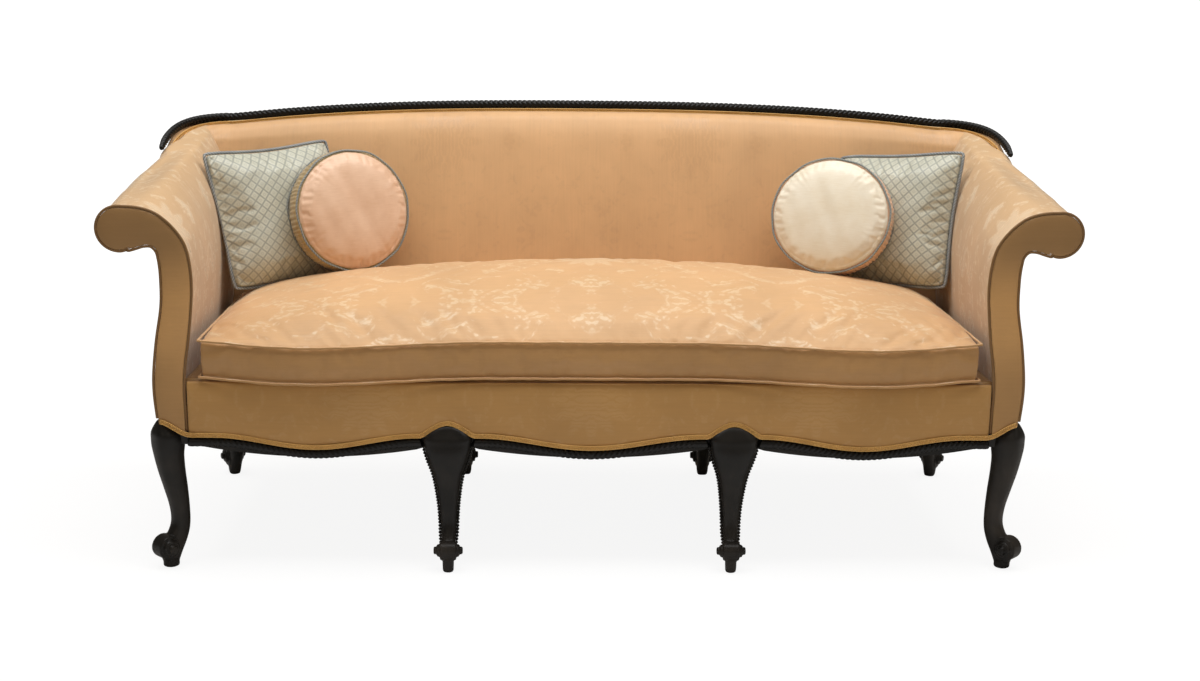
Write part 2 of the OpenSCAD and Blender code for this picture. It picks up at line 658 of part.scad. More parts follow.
module facing(side) {
    line = concat(
        [[foot_inner_x, swag(foot_inner_x) + gap]], front_line,
        [[foot_outer_x, swag(foot_outer_x) + gap]],
        [for (x = span(foot_outer_x, foot_inner_x, 8)) if (x < foot_outer_x && x > foot_inner_x)
            [x, swag(x) + gap]]);
    damask() both(side) {
        slab(piping_r, rail_y - gap) polygon(line);
        slab(0, piping_r) offset(r = -piping_r, $fn = 24) polygon(line);
    }
}
module facing_piping(side) {
    line = inset(front_line, -piping_r - gap);
    damask() both(side)
        tube([for (p = line) [p[0], piping_r, p[1]]], piping_r, piping_r, [0, -1, 0], 6);
}
module arm_post(side) {
    inner = inset(front_inner, arm_pad_t + thin * 1.6);
    outer = inset(front_outer, cover_t + thin);
    beech() both(side) slab(rail_y, rail_y + stump_t) polygon(concat(
        [for (p = inner) if (p[1] >= rail_top) p], [for (p = outer) if (p[1] >= rail_top) p],
        [[outer[len(outer) - 1][0], rail_top], [inner[0][0], rail_top]]));
}

// A rail from the arm's post to the rear leg, just outside the padding, between two heights
// given as shares of the arm's height
module arm_board(side, low, high) {
    low_z = rail_top + arm_h * low;
    high_z = rail_top + arm_h * high;
    clear = seat_half_w + arm_pad_t + gap * 2;
    front_x = clear + arm_w * max(share_at(inner_front_shares, low), share_at(inner_front_shares, high));
    rear_x = clear + arm_w * max(share_at(inner_rear_shares, low), share_at(inner_rear_shares, high));
    beech() both(side) intersection() {
        board(0, half_w) polygon([
            [rail_y + stump_t, low_z], [stile_y(low_z), low_z],
            [stile_y(high_z), high_z], [rail_y + stump_t, high_z]]);
        linear_extrude(height = overall_h) polygon([
            [front_x, arm_front_y], [front_x + arm_rail_t, arm_front_y],
            [rear_x + arm_rail_t, back_face_y(low_z)], [rear_x + arm_rail_t, crest_y],
            [rear_x, crest_y], [rear_x, back_face_y(low_z)]]);
    }
}
module arm_rail(side) {
    arm_board(side, 0.68, 0.79);
}
module arm_tack_rail(side) {
    arm_board(side, 0.2, 0.28);
}

// Outside arm: a cloth skin from the side rail's foot up to the neck of the scroll and, behind
// the scroll, up to the crest rail
outer_low_z = rail_foot + over * 3;
function outer_y(t, z) = mix(rail_y + gap, outer_back_y(max(z, rail_top)), t);
function outer_top(t) =
    let (y = arm_y(t, arm_top_z), c = roll_mid(t), r = roll_r(t), w = ease((t - 0.7) / 0.12),
        a = turn_angle(outer_y(t, arm_top_z)), round = mix(roll_end, -20, ease((t - 0.6) / 0.1)),
        neck = c + (r + gap * 2 + over * 2 * ease((t - 0.3) / 0.2)) * [cos(round), sin(round)],
        wing = turn_at(min(a, wing_end)), out = turn_out(a) * crest_d * 0.3)
    mix([neck[0], y, neck[1]], [wing[0] + out[0], wing[1] + out[1], wing[2] - crest_d - gap], w);
function outer_low(t) =
    let (y = outer_y(t, rail_top), knee = ease((y - corner_block_y) / corner_block_w))
    [side_inner_x(min(max(y, corner_block_y), rear_block_y)) + rail_t + cover_t + gap * 2, y,
        mix(rail_top - over * 3, outer_low_z, knee)];
// How far the skin lies inside the straight line from its foot to its top, as shares of the
// scroll's radius
outer_hollow_shares = [
    [0, 0], [0.14, 0.0], [0.26, 0.11], [0.45, 0.45], [0.65, 0.89], [0.82, 1.08], [0.9, 0.76],
    [0.95, 0.36], [1, 0]];
function outer_point(t, v, d) =
    mix(outer_low(t), outer_top(t), v)
    - [d + scroll_r * (1 - ease((t - 0.6) / 0.35)) * lookup(v, outer_hollow_shares), 0, 0];
module outside_arm(side) {
    v_steps = [for (s = outer_hollow_shares) s[0]];
    damask() both(side) loft([for (t = arm_steps)
        concat(
            [for (v = v_steps) outer_point(t, v, 0)],
            [for (v = reverse(v_steps)) outer_point(t, v, cover_t)])], true);
}

// Back

module back_top_rail() {
    half = rear_out_x;
    beech() placed() intersection() {
        board(-half, half) polygon([
            [stile_y(stile_top), stile_top], [outer_back_y(stile_top), stile_top],
            [outer_back_y(overall_h), overall_h], [stile_y(overall_h), overall_h]]);
        slab(rear_rail_y, crest_y + rail_t) polygon(concat(
            [[-half, stile_top - over], [half, stile_top - over]],
            [for (x = span(half, -half, 24))
                [x, (abs(x) < crest_turn_x ? crest_z(x) : turn_z(turn_angle_x(x))) - crest_d - thin]]));
    }
}
module back_tack_rail() {
    inner = rear_out_x - stile_w;
    low = lean_s(deck_z + over * 3);
    beech() placed() leaning() difference() {
        translate([-inner, 0, low]) cube([2 * inner, rail_t * 0.8, rail_t * 1.4]);
        for (s = [-1, 1]) translate([s * mid_rear_x - stile_w / 2, -over, low - over])
            cube([stile_w, rail_t + 2 * over, rail_t * 2]);
    }
}
// The curved rail under the crest's bend, cut back below to the slope of the outside arm
module wing_rail(side) {
    deep = crest_d * 1.1;
    beech() both(side) loft([for (a = [70, 60, 50, 40, 28, 16, 6])
        let (p = turn_at(a), n = turn_out(a) * crest_d, top = p - [0, 0, crest_d + thin], low = top - [0, 0, deep])
        [top - n * 0.48, top - n * 0.12, low - n * 0.6, low - n * 0.68]]);
}
module back_webbing() {
    from_s = lean_s(deck_z + over * 3);
    color([0.55, 0.42, 0.25]) placed() leaning() for (i = [0:web_count - 1])
        translate([web_x(i) - web_w / 2, -thin, from_s])
            cube([web_w, thin, lean_s(stile_top + over * 4) - from_s]);
}

// The inside back's section from its foot up, as shares of its height and of its fullness
back_shares = [
    [0, 0], [0.07, 0.3], [0.2, 0.75], [0.42, 1], [0.66, 0.9], [0.86, 0.45], [0.95, -0.5], [0.985, -1.6],
    [1, -2.9]];
// Beside the arm rails the padding starts above them
module inside_back() {
    edge = seat_half_w + arm_w * 0.07 + arm_pad_t;
    half = rear_out_x + gap;
    foot = deck_at(rear_rail_y - 2 * back_pad_t) + gap;
    ear = rail_top + arm_h * 0.86;
    ears = [[edge, foot], [edge + thin, ear], [mix(edge, half, 0.5), ear + over * 6], [half, ear + over * 12]];
    columns = concat(
        [for (e = reverse(ears)) [-e[0], e[1]]],
        [for (x = span(-seat_half_w, seat_half_w, 18)) [x, foot]], ears);
    damask() placed() leaning() loft([for (c = columns)
        let (x = c[0], low = lean_s(c[1]), top = lean_s(crest_z(x) - crest_d - gimp_h - gap),
            full = max(0.04, 1 - pow(abs(x) / seat_half_w, 4)))
        concat(
            [for (s = back_shares)
                let (y = -thin - gap - back_pad_t - (s[1] > 0 ? s[1] * full : s[1]) * back_belly)
                [x, y, mix(low + y * tan(rake), top, s[0])]],
            [[x, -thin - gap, top], [x, -thin - gap, low]])]);
}
module outside_back() {
    damask() placed() intersection() {
        board(-rear_out_x, rear_out_x) polygon([
            [frame_d + gap, outer_low_z], [frame_d + gap, rail_top],
            [outer_back_y(overall_h) + gap, overall_h],
            [outer_back_y(overall_h) + gap + cover_t, overall_h],
            [frame_d + gap + cover_t, rail_top], [frame_d + gap + cover_t, outer_low_z]]);
        slab(0, crest_y + stile_w) polygon(concat(
            [[-rear_out_x, outer_low_z], [rear_out_x, outer_low_z]],
            [for (x = span(crest_turn_x, -crest_turn_x, 24)) [x, crest_z(x) - crest_d - gap * 2 - thin]]));
    }
}
module crest_rail() {
    ebony() placed() tube(
        [for (p = crest_line) [p[0], p[1], p[2] - crest_d / 2]],
        crest_d / 2, crest_d / 2, [0, 0, 1], 8);
}
module crest_gimp() {
    from_top = crest_d + gimp_h / 2;
    in = crest_y - stile_y(overall_h - from_top) + gimp_t + gap;
    path = [for (i = [0:len(crest_line) - 1])
        let (d = path_dir(crest_line, i, false))
        crest_line[i] + [d[1], -d[0], 0] * in / norm([d[0], d[1]]) - [0, 0, from_top]];
    braid() placed() tube(path, gimp_t * 0.6, gimp_h * 0.5, [0, 0, 1], 4);
}

// Seat cushion

cushion_y = -over * 0.2;
bow_from_share = 0.25;
// Front edge: it bows out over each of the two outer thirds, and droops there
function front_bow(x) =
    let (s = max(0, (min(1, abs(x) / cushion_half_w) - bow_from_share) / (1 - bow_from_share)))
    pow(max(0, sin(180 * pow(s, 1.5))), 1.2);
function cushion_front(x) = cushion_y - cushion_bow * front_bow(x);
function cushion_low(y) = deck_at(y) + gap;
function cushion_edge_z(x, y) =
    cushion_low(y) + boxing_h - cushion_droop * front_bow(x) * max(0, 1 - max(0, y) / boxing_h);
function cushion_crown(u, v) =
    let (w = pow(v, 1.5))
    crown_h * pow(max(0, 1 - pow(abs(u), 2.6)), 0.7) * pow(max(0, 1 - pow(abs(2 * w - 1), 2.6)), 0.62);
cushion_steps = [0, 0.02, 0.06, 0.13, 0.22, 0.33, 0.45, 0.58, 0.7, 0.82, 0.91, 0.97, 1];
cushion_columns = [for (i = [-12:12]) sin(90 * i / 12) * 0.35 + i / 12 * 0.65];
module seat_cushion() {
    back = cushion_y + cushion_d;
    damask() placed() loft([for (u = cushion_columns)
        let (x = u * cushion_half_w,
            front = cushion_front(x), full = over * 0.8 * (1 - pow(abs(u), 8)),
            lip = cushion_low(0) - cushion_droop * front_bow(x))
        concat(
            [[x, back - over, cushion_low(back)], [x, rail_y, cushion_low(rail_y)],
                [x, front + over, lip], [x, front, lip + over],
                [x, front - full, lip + boxing_h * 0.5]],
            [for (v = cushion_steps)
                let (y = mix(front, back, v)) [x, y, cushion_edge_z(x, y) + cushion_crown(u, v)]],
            [[x, back, cushion_low(back) + over]])]);
}
// The line round the cushion at a height over its foot, just outside it
function cushion_round(up) =
    let (out = piping_r + gap * 3, w = cushion_half_w, back = cushion_y + cushion_d,
        near = cushion_front(w) - out / 2, far = back + out / 2)
    concat(
        [for (u = cushion_columns)
            let (x = u * w, y = cushion_front(x)) [x, y - out, cushion_edge_z(x, y) - boxing_h + up]],
        [for (y = span(near, far, 6)) [w + out, y, cushion_edge_z(w, y) - boxing_h + up]],
        [for (x = span(w + out / 2, -w - out / 2, 9)) [x, back + out, cushion_edge_z(w, back) - boxing_h + up]],
        [for (y = span(far, near, 6)) [-w - out, y, cushion_edge_z(w, y) - boxing_h + up]]);
module seat_cushion_piping() {
    damask() placed() for (up = [piping_r * 2, boxing_h]) ring_tube(cushion_round(up), piping_r, [0, 0, 1], 6);
}

// Scatter cushions

// Each cushion's place on the seat, as shares of the seat cushion's half width and of its depth,
// then its lean back, its turn about Z and its roll, in degrees
left_square_shares = [-0.8775, 0.9143];
right_square_shares = [0.8734, 0.9288];
left_square_turn = [17, 39, -2];
right_square_turn = [16, -36, -3];
left_round_turn = [14, 28, 0];
right_round_turn = [18, -22, 0];
// How far the seat gives under each cushion, in millimetres from a crown without facets
left_square_sink = -1.5;
right_square_sink = -1.6;
left_round_sink = 0.4;
right_round_sink = 0.3;
// Each round cushion's place before its square one, as shares of the square's size, sideways,
// forwards and up
left_round_shares = [0.3403, -0.3262, -0.1044];
right_round_shares = [-0.2766, -0.3435, -0.0658];
function spin(p, t) =
    let (a = [p[0] * cos(t[2]) + p[2] * sin(t[2]), p[1], p[2] * cos(t[2]) - p[0] * sin(t[2])],
        b = [a[0], a[1] * cos(t[0]) + a[2] * sin(t[0]), a[2] * cos(t[0]) - a[1] * sin(t[0])])
    [b[0] * cos(t[1]) - b[1] * sin(t[1]), b[0] * sin(t[1]) + b[1] * cos(t[1]), b[2]];
function seat_top(x, y) =
    let (front = cushion_front(x), v = (y - front) / (cushion_y + cushion_d - front))
    cushion_edge_z(x, y) + cushion_crown(x / cushion_half_w, max(0, min(1, v)));
// The place of a cushion's middle at which the lowest of its feet just clears the seat
function seated(x, y, t, feet, sink) = [x, y, max([for (f = feet)
    let (q = spin(f, t)) seat_top(x + q[0], y + q[1]) - q[2]]) - sink];
square_feet = [for (u = [-1:0.25:1]) let (p = square_edge(u, -1)) [p[0], 0, p[1] - 2 * cord_r]];
round_feet = [for (s = [-1, 1]) for (a = [-60:15:60])
    (round_d / 2 + 2 * cord_r) * [sin(a), 0, -cos(a)] + [0, s * round_band / 2, 0]];
function square_at(shares, t, sink) =
    seated(shares[0] * cushion_half_w, shares[1] * cushion_d, t, square_feet, sink);
function round_at(shares, t, square, square_turn, sink) =
    let (q = square + spin(shares * square_w, square_turn)) seated(q[0], q[1], t, round_feet, sink);
left_square_at = square_at(left_square_shares, left_square_turn, left_square_sink);
right_square_at = square_at(right_square_shares, right_square_turn, right_square_sink);
left_round_at =
    round_at(left_round_shares, left_round_turn, left_square_at, left_square_turn, left_round_sink);
right_round_at =
    round_at(right_round_shares, right_round_turn, right_square_at, right_square_turn, right_round_sink);
module scatter(at, t) {
    placed() translate(at) rotate([0, 0, t[1]]) rotate([-t[0], 0, 0]) rotate([0, t[2], 0]) children();
}

function square_edge(u, v) =
    let (w = square_w / 2, draw = 0.09)
    [w * u * (1 - draw * (1 - v * v)), w * v * (1 - draw * (1 - u * u))];
function square_thick(u, v) =
    cord_r + (square_t / 2 - cord_r) * pow((1 - pow(u, 4)) * (1 - pow(v, 4)), 0.6);
module square_cushion() {
    steps = [-1, -0.93, -0.8, -0.55, -0.25, 0, 0.25, 0.55, 0.8, 0.93, 1];
    loft([for (u = steps) concat(
        [for (v = steps) let (p = square_edge(u, v)) [p[0], square_thick(u, v), p[1]]],
        [for (v = reverse(steps)) let (p = square_edge(u, v)) [p[0], -square_thick(u, v), p[1]]])], true);
}
module square_cord() {
    n = 9;
    line = concat(
        [for (i = [0:n - 1]) square_edge(-1 + 2 * i / n, -1)],
        [for (i = [0:n - 1]) square_edge(1, -1 + 2 * i / n)],
        [for (i = [0:n - 1]) square_edge(1 - 2 * i / n, 1)],
        [for (i = [0:n - 1]) square_edge(-1, 1 - 2 * i / n)]);
    m = len(line);
    ring_tube([for (i = [0:m - 1])
        let (out = (cord_r + gap * 4) * (i % n == 0 ? 1.4 : 1),
            q = line[i] + out * side_of(line[(i + m - 1) % m], line[(i + 1) % m]))
        [q[0], 0, q[1]]], cord_r, [0, 1, 0], 6);
}
// A round cushion: a crowned face each side of a band that draws in at its middle
round_shares = [[0, 1], [0.35, 0.92], [0.62, 0.72], [0.82, 0.42], [0.95, 0.12], [1, -0.08]];
module round_cushion() {
    r = round_d / 2;
    h = round_band / 2;
    face = [for (s = round_shares) [s[0] * r, h + s[1] * round_crown]];
    rotate([90, 0, 0]) rotate_extrude($fn = 64) polygon(concat(
        [for (p = reverse(face)) p],
        [for (p = face) [p[0], -p[1]]],
        [[r * 0.985, 0]]));
}
module round_cord() {
    r = round_d / 2;
    rotate([90, 0, 0]) for (s = [-1, 1])
        translate([0, 0, s * round_band / 2]) rotate_extrude($fn = 64)
            translate([r + cord_r + gap, 0]) circle(r = cord_r, $fn = 24);
}

module blue_silk() {
    color([0.66, 0.72, 0.68]) children();
}
module cord_colour() {
    color([0.5, 0.55, 0.58]) children();
}
module left_square_cushion() {
    blue_silk() scatter(left_square_at, left_square_turn) square_cushion();
}
module left_square_cord() {
    cord_colour() scatter(left_square_at, left_square_turn) square_cord();
}
module right_square_cushion() {
    blue_silk() scatter(right_square_at, right_square_turn) square_cushion();
}
module right_square_cord() {
    cord_colour() scatter(right_square_at, right_square_turn) square_cord();
}
module left_round_cushion() {
    color([0.86, 0.62, 0.46]) scatter(left_round_at, left_round_turn) round_cushion();
}
module left_round_cord() {
    cord_colour() scatter(left_round_at, left_round_turn) round_cord();
}
module right_round_cushion() {
    color([0.87, 0.83, 0.7]) scatter(right_round_at, right_round_turn) round_cushion();
}
module right_round_cord() {
    cord_colour() scatter(right_round_at, right_round_turn) round_cord();
}

front_rail();
rear_rail();
side_rail(-1);  // left_side_rail
side_rail(1);  // right_side_rail
corner_leg(-1);  // front_left_leg
front_mid_leg(-1);  // front_mid_left_leg
front_mid_leg(1);  // front_mid_right_leg
corner_leg(1);  // front_right_leg
rear_leg(-1, rear_leg_x, rear_toe_turn);  // rear_left_leg
rear_leg(-1, mid_rear_x, 0);  // rear_mid_left_leg
rear_leg(1, mid_rear_x, 0);  // rear_mid_right_leg
rear_leg(1, rear_leg_x, rear_toe_turn);  // rear_right_leg
corner_blocks();
block_screws();
cross_rails();
seat_webbing();
seat_springs();
spring_hessian();
seat_deck();
front_border();
front_rope_moulding();
front_gimp();
arm_post(-1);  // left_arm_post
arm_post(1);  // right_arm_post
arm_rail(-1);  // left_arm_rail
arm_rail(1);  // right_arm_rail
arm_tack_rail(-1);  // left_arm_tack_rail
arm_tack_rail(1);  // right_arm_tack_rail
arm_roll(-1);  // left_arm_roll
arm_roll(1);  // right_arm_roll
inside_arm(-1);  // left_inside_arm
inside_arm(1);  // right_inside_arm
outside_arm(-1);  // left_outside_arm
outside_arm(1);  // right_outside_arm
facing(-1);  // left_facing
facing(1);  // right_facing
facing_piping(-1);  // left_facing_piping
facing_piping(1);  // right_facing_piping
back_top_rail();
back_tack_rail();
wing_rail(-1);  // left_wing_rail
wing_rail(1);  // right_wing_rail
back_webbing();
inside_back();
outside_back();
crest_rail();
crest_gimp();
dust_cover();
seat_cushion();
seat_cushion_piping();
left_square_cushion();
left_square_cord();
right_square_cushion();
right_square_cord();
left_round_cushion();
left_round_cord();
right_round_cushion();
right_round_cord();
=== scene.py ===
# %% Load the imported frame
import math
import bmesh
import bpy
import numpy as np
from mathutils import Matrix, Quaternion, Vector
from mathutils.kdtree import KDTree


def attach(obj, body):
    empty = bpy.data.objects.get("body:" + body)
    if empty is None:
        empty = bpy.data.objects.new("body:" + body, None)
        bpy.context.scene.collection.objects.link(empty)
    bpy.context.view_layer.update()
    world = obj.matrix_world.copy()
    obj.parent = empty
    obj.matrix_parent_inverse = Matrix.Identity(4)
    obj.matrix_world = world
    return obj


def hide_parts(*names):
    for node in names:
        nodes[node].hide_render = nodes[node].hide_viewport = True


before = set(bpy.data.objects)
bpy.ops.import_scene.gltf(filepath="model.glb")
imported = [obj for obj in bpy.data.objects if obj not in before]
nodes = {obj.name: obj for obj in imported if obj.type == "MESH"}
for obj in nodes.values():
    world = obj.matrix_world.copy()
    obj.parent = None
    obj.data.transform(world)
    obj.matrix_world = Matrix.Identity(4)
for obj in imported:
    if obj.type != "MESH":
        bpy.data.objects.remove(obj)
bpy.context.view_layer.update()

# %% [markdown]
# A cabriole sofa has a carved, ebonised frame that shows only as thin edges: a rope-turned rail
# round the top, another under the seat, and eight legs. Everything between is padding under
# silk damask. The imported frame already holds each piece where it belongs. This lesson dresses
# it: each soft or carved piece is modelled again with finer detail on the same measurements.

scene = bpy.context.scene

# Millimetres, as in the part's source; depth is counted from the front face of the upholstery
MID_Y = 373.155
HALF_W, OVERALL_H, FRAME_D, RAKE = 1068.0, 968.0, 661.0, 13.0
RAIL_TOP, RAIL_FOOT, PAD_T = 372.0, 287.0, 14.0
RAIL_Y, RAIL_BACK_Y, REAR_RAIL_Y = 14.0, 46.0, 629.0
FRONT_OUT_X, REAR_OUT_X, BLOCK_W, STILE_W = 948.0, 922.0, 62.0, 50.0
MID_LEG_X, MID_REAR_X, TOE_REACH, TOE_R = 318.0, 311.0, 70.0, 27.0
SCROLL_R, SCROLL_Z, SEAT_HALF_W, ARM_PAD, PIPING_R = 46.0, 773.0, 868.0, 14.0, 3.0
BACK_PAD, BACK_BELLY, CREST_D, CREST_FALL, CREST_END_DROP = 45.0, 12.0, 19.0, 38.0, 47.0
TURN_X, TURN_W, TURN_D, CREST_Y = 890.0, 136.0, 266.0, 775.0
DECK_Z, DECK_FALL = 440.0, 30.0
ARM_W, ARM_H = HALF_W - SEAT_HALF_W, SCROLL_Z - RAIL_TOP
GAP, THIN, OVER = 0.3, 2.0, 5.0
GIMP_H, FRONT_GIMP_H = 9.0, 11.0
REAR_BLOCK_D, BRIDLE_STRIP, STILE_DROP = 41.0, 27.0, 60.5
TAN_RAKE, COS_RAKE, SIN_RAKE = (f(math.radians(RAKE)) for f in (math.tan, math.cos, math.sin))


def metres(points):
    """Millimetres from the front of the upholstery, to metres in the sofa's own frame."""
    return (np.asarray(points, float) - [0.0, MID_Y, 0.0]) / 1000


def millimetres(points):
    """Back from the scene's metres to the source's millimetres."""
    return points * 1000 + [0, MID_Y, 0]


def ease(t):
    c = np.clip(t, 0, 1)
    return c * c * (3 - 2 * c)


def mix(a, b, t):
    return a + (b - a) * t


def run_along(line):
    """How far along a line each of its points lies."""
    return np.concatenate([[0], np.cumsum(np.linalg.norm(np.diff(line, axis=0), axis=1))])


def mesh_of(bm, name):
    """Turns a finished bmesh into a mesh and frees it."""
    mesh = bpy.data.meshes.new(name)
    bm.to_mesh(mesh)
    bm.free()
    return mesh


def to_mesh(bm, name):
    bmesh.ops.recalc_face_normals(bm, faces=bm.faces)
    return mesh_of(bm, name)


# %% [markdown]
# Most pieces here are skins: a sheet of cloth, a rope or a carved rail is a grid of points that
# has been bent into shape. Blender can make the grid and the script then moves its points, so
# every face, and the cloth's own flat coordinates, come for free. A closed skin, such as a tube,
# is a grid whose two edges meet, and merging the doubles sews them.

# %% Smooth lines and skins


def smooth_line(points, count, closed=False):
    """Evenly spaced points on a smooth curve through some points."""
    p = np.asarray(points, float)
    ends = (p[-1:], p[:1], p[1:2])
    if not closed:
        ends = (2 * p[:1] - p[1:2], 2 * p[-1:] - p[-2:-1], p[:0])
    q = np.vstack([ends[0], p, ends[1], ends[2]])
    fine = []
    for t in np.linspace(0, 1, 12, endpoint=False):
        a, b, c, d = q[:-3], q[1:-2], q[2:-1], q[3:]
        fine.append(0.5 * (2 * b + (c - a) * t + (2 * a - 5 * b + 4 * c - d) * t * t
                           + (3 * b - a - 3 * c + d) * t ** 3))
    line = np.stack(fine, 1).reshape(-1, p.shape[1])
    line = np.vstack([line, p[:1] if closed else p[-1:]])
    run = run_along(line)
    at = np.linspace(0, run[-1], count, endpoint=not closed)
    return np.stack([np.interp(at, run, line[:, k]) for k in range(p.shape[1])], 1)


def new_object(name, mesh, body, material=None):
    piece = bpy.data.objects.new(name, mesh)
    scene.collection.objects.link(piece)
    if material:
        mesh.materials.append(material)
    mesh.shade_smooth()
    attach(piece, body)
    return piece


def skin_mesh(name, rows, sew_rows=False, sew_columns=False, cap=False, inside=None):
    """A mesh from rows of points in millimetres, with a UV map in metres along the cloth.
    An open skin's faces look away from the point inside."""
    rows = np.asarray(rows, float)
    if sew_rows:
        rows = np.concatenate([rows, rows[:1]])
    if sew_columns:
        rows = np.concatenate([rows, rows[:, :1]], axis=1)
    m, n = rows.shape[:2]
    points = metres(rows)
    across = np.linalg.norm(np.diff(points, axis=1), axis=2).mean(0)
    along = np.linalg.norm(np.diff(points, axis=0), axis=2).mean(1)
    u = np.concatenate([[0], np.cumsum(across)])
    v = np.concatenate([[0], np.cumsum(along)])
    grid = bmesh.new()
    bmesh.ops.create_grid(grid, x_segments=n - 1, y_segments=m - 1, size=0.5)
    uv = grid.loops.layers.uv.new("cloth")
    place = {}
    for vert in grid.verts:
        place[vert] = (round((vert.co.y + 0.5) * (m - 1)), round((vert.co.x + 0.5) * (n - 1)))
    for face in grid.faces:
        for loop in face.loops:
            i, j = place[loop.vert]
            loop[uv].uv = (u[j], v[i])
    for vert, (i, j) in place.items():
        vert.co = points[i, j]
    if sew_rows or sew_columns:
        bmesh.ops.remove_doubles(grid, verts=grid.verts, dist=1e-7)
    if cap:
        bmesh.ops.holes_fill(grid, edges=[e for e in grid.edges if e.is_boundary], sides=0)
    bmesh.ops.recalc_face_normals(grid, faces=grid.faces)
    if inside is not None:
        centre = Vector(metres(inside))
        if sum(f.normal.dot(f.calc_center_median() - centre) for f in grid.faces) < 0:
            bmesh.ops.reverse_faces(grid, faces=grid.faces)
    return mesh_of(grid, name)


def skin(name, body, slot_name, rows, material=None, thickness=0.0, **sewing):
    piece = new_object(name, skin_mesh(name, rows, **sewing), body, material)
    if thickness:
        wall = piece.modifiers.new("thickness", "SOLIDIFY")
        wall.thickness = thickness / 1000
        wall.offset = -1
    return piece


# %% Tubes, cords and ropes


def frames_along(path, up, closed):
    """Side and top directions at each point of a path."""
    ahead = np.roll(path, -1, 0) - np.roll(path, 1, 0)
    if not closed:
        ahead[0], ahead[-1] = path[1] - path[0], path[-1] - path[-2]
    ahead /= np.linalg.norm(ahead, axis=1)[:, None]
    side = np.cross(ahead, np.broadcast_to(up, ahead.shape))
    side /= np.linalg.norm(side, axis=1)[:, None]
    return side, np.cross(side, ahead)


def tube_rows(path, radius, around=10, up=(0, 0, 1), closed=False, strands=0, lay=0.0, depth=0.0,
              taper=0.0, flat=1.0, twist=1.0):
    """Rows of a tube, or of a rope whose strands turn once in each lay, in millimetres."""
    path = np.asarray(path, float)
    side, top = frames_along(path, up, closed)
    steps = np.linalg.norm(np.roll(path, -1, 0) - path, axis=1)
    run = np.concatenate([[0], np.cumsum(steps)[:-1]])
    whole = steps.sum() if closed else run[-1]
    angle = np.linspace(0, 2 * math.pi, around, endpoint=False)
    size = np.broadcast_to(np.asarray(radius, float), (len(path),))[:, None] * np.ones(around)
    if strands:
        turns = round(whole / lay) / whole
        # A mirrored rope winds both ways from its middle
        wound = np.abs(run - whole / 2) if twist == 0 else run * twist
        phase = strands / 2 * (angle[None, :] - 2 * math.pi * turns * wound[:, None])
        cut = np.broadcast_to(np.asarray(depth, float), (len(path),))[:, None]
        size = size * (1 - cut * (1 - np.abs(np.cos(phase)) ** 0.8))
    if taper and not closed:
        near = np.minimum(run, whole - run)[:, None]
        size = size * np.sqrt(np.clip(1 - (1 - np.clip(near / taper, 0, 1)) ** 2, 0.0004, 1))
    return (path[:, None, :] + side[:, None, :] * (size * flat * np.cos(angle))[..., None]
            + top[:, None, :] * (size * np.sin(angle))[..., None])


def tube(name, body, slot_name, path, radius, material=None, closed=False, **form):
    rows = tube_rows(path, radius, closed=closed, **form)
    return skin(name, body, slot_name, rows, material, sew_rows=closed, sew_columns=True,
                cap=not closed)


def join(name, body, pieces, material=None):
    """Several finished pieces as one object."""
    whole = bmesh.new()
    for piece in pieces:
        whole.from_mesh(piece.data)
        bpy.data.objects.remove(piece)
    return new_object(name, mesh_of(whole, name), body, material)


# %% [markdown]
# The camera stands where the photographer stood: eye height, a little left of the middle, turned
# and tipped slightly. Its place was found by lining up the braid line, the soles and the arm
# fronts. The studio is a white sweep under one wide overhead light with a weak fill in front, which
# leaves the fronts of the arms and the seat's border darker than the seat, as in the photo. Their
# silks are also painted darker, as painted shade.

# %% Camera
PHOTO_W = 1200
FOCAL_PX, EYE_Z, EYE_DISTANCE, EYE_X = 1760.0, 1.480, 3.728, -0.095
PITCH, YAW, ROLL = math.radians(14.25), math.radians(1.72), math.radians(0.73)
camera_data = bpy.data.cameras.new("photo_camera")
camera = bpy.data.objects.new("photo_camera", camera_data)
scene.collection.objects.link(camera)
camera_data.sensor_width = 36
camera_data.lens = 36 * FOCAL_PX / PHOTO_W
look = Vector((math.sin(YAW) * math.cos(PITCH), math.cos(YAW) * math.cos(PITCH),
               -math.sin(PITCH)))
camera.location = (EYE_X, -EYE_DISTANCE - MID_Y / 1000, EYE_Z)
level_turn = look.to_track_quat("-Z", "Y")
camera.rotation_euler = (level_turn @ Quaternion((0, 0, 1), ROLL)).to_euler()
scene.camera = camera
scene.view_settings.view_transform = "Standard"
print("lens", round(camera_data.lens, 1), "mm")

# %% Lights, floor and background


def area_light(name, at, towards, size, watts, colour=(1, 1, 1)):
    data = bpy.data.lights.new(name, "AREA")
    data.shape = "RECTANGLE"
    data.size, data.size_y = size
    data.energy = watts
    data.color = colour
    lamp = bpy.data.objects.new(name, data)
    lamp.location = at
    lamp.rotation_euler = (Vector(towards) - Vector(at)).to_track_quat("-Z", "Y").to_euler()
    scene.collection.objects.link(lamp)
    return lamp


area_light("overhead", (0.0, -0.25, 3.1), (0.0, 0.05, 0.4), (4.2, 1.9), 104)
area_light("front_fill", (-0.5, -4.6, 2.3), (0.0, 0.0, 0.5), (3.4, 1.8), 10, (1.0, 0.89, 0.72))
area_light("side_fill", (2.6, -2.2, 1.9), (0.3, 0.0, 0.6), (1.6, 1.6), 5, (1.0, 0.92, 0.80))


def fill(tree, node, inputs):
    """Links or sets each input of a node."""
    for key, value in inputs.items():
        if isinstance(value, bpy.types.NodeSocket):
            tree.links.new(value, node.inputs[key])
        else:
            node.inputs[key].default_value = value


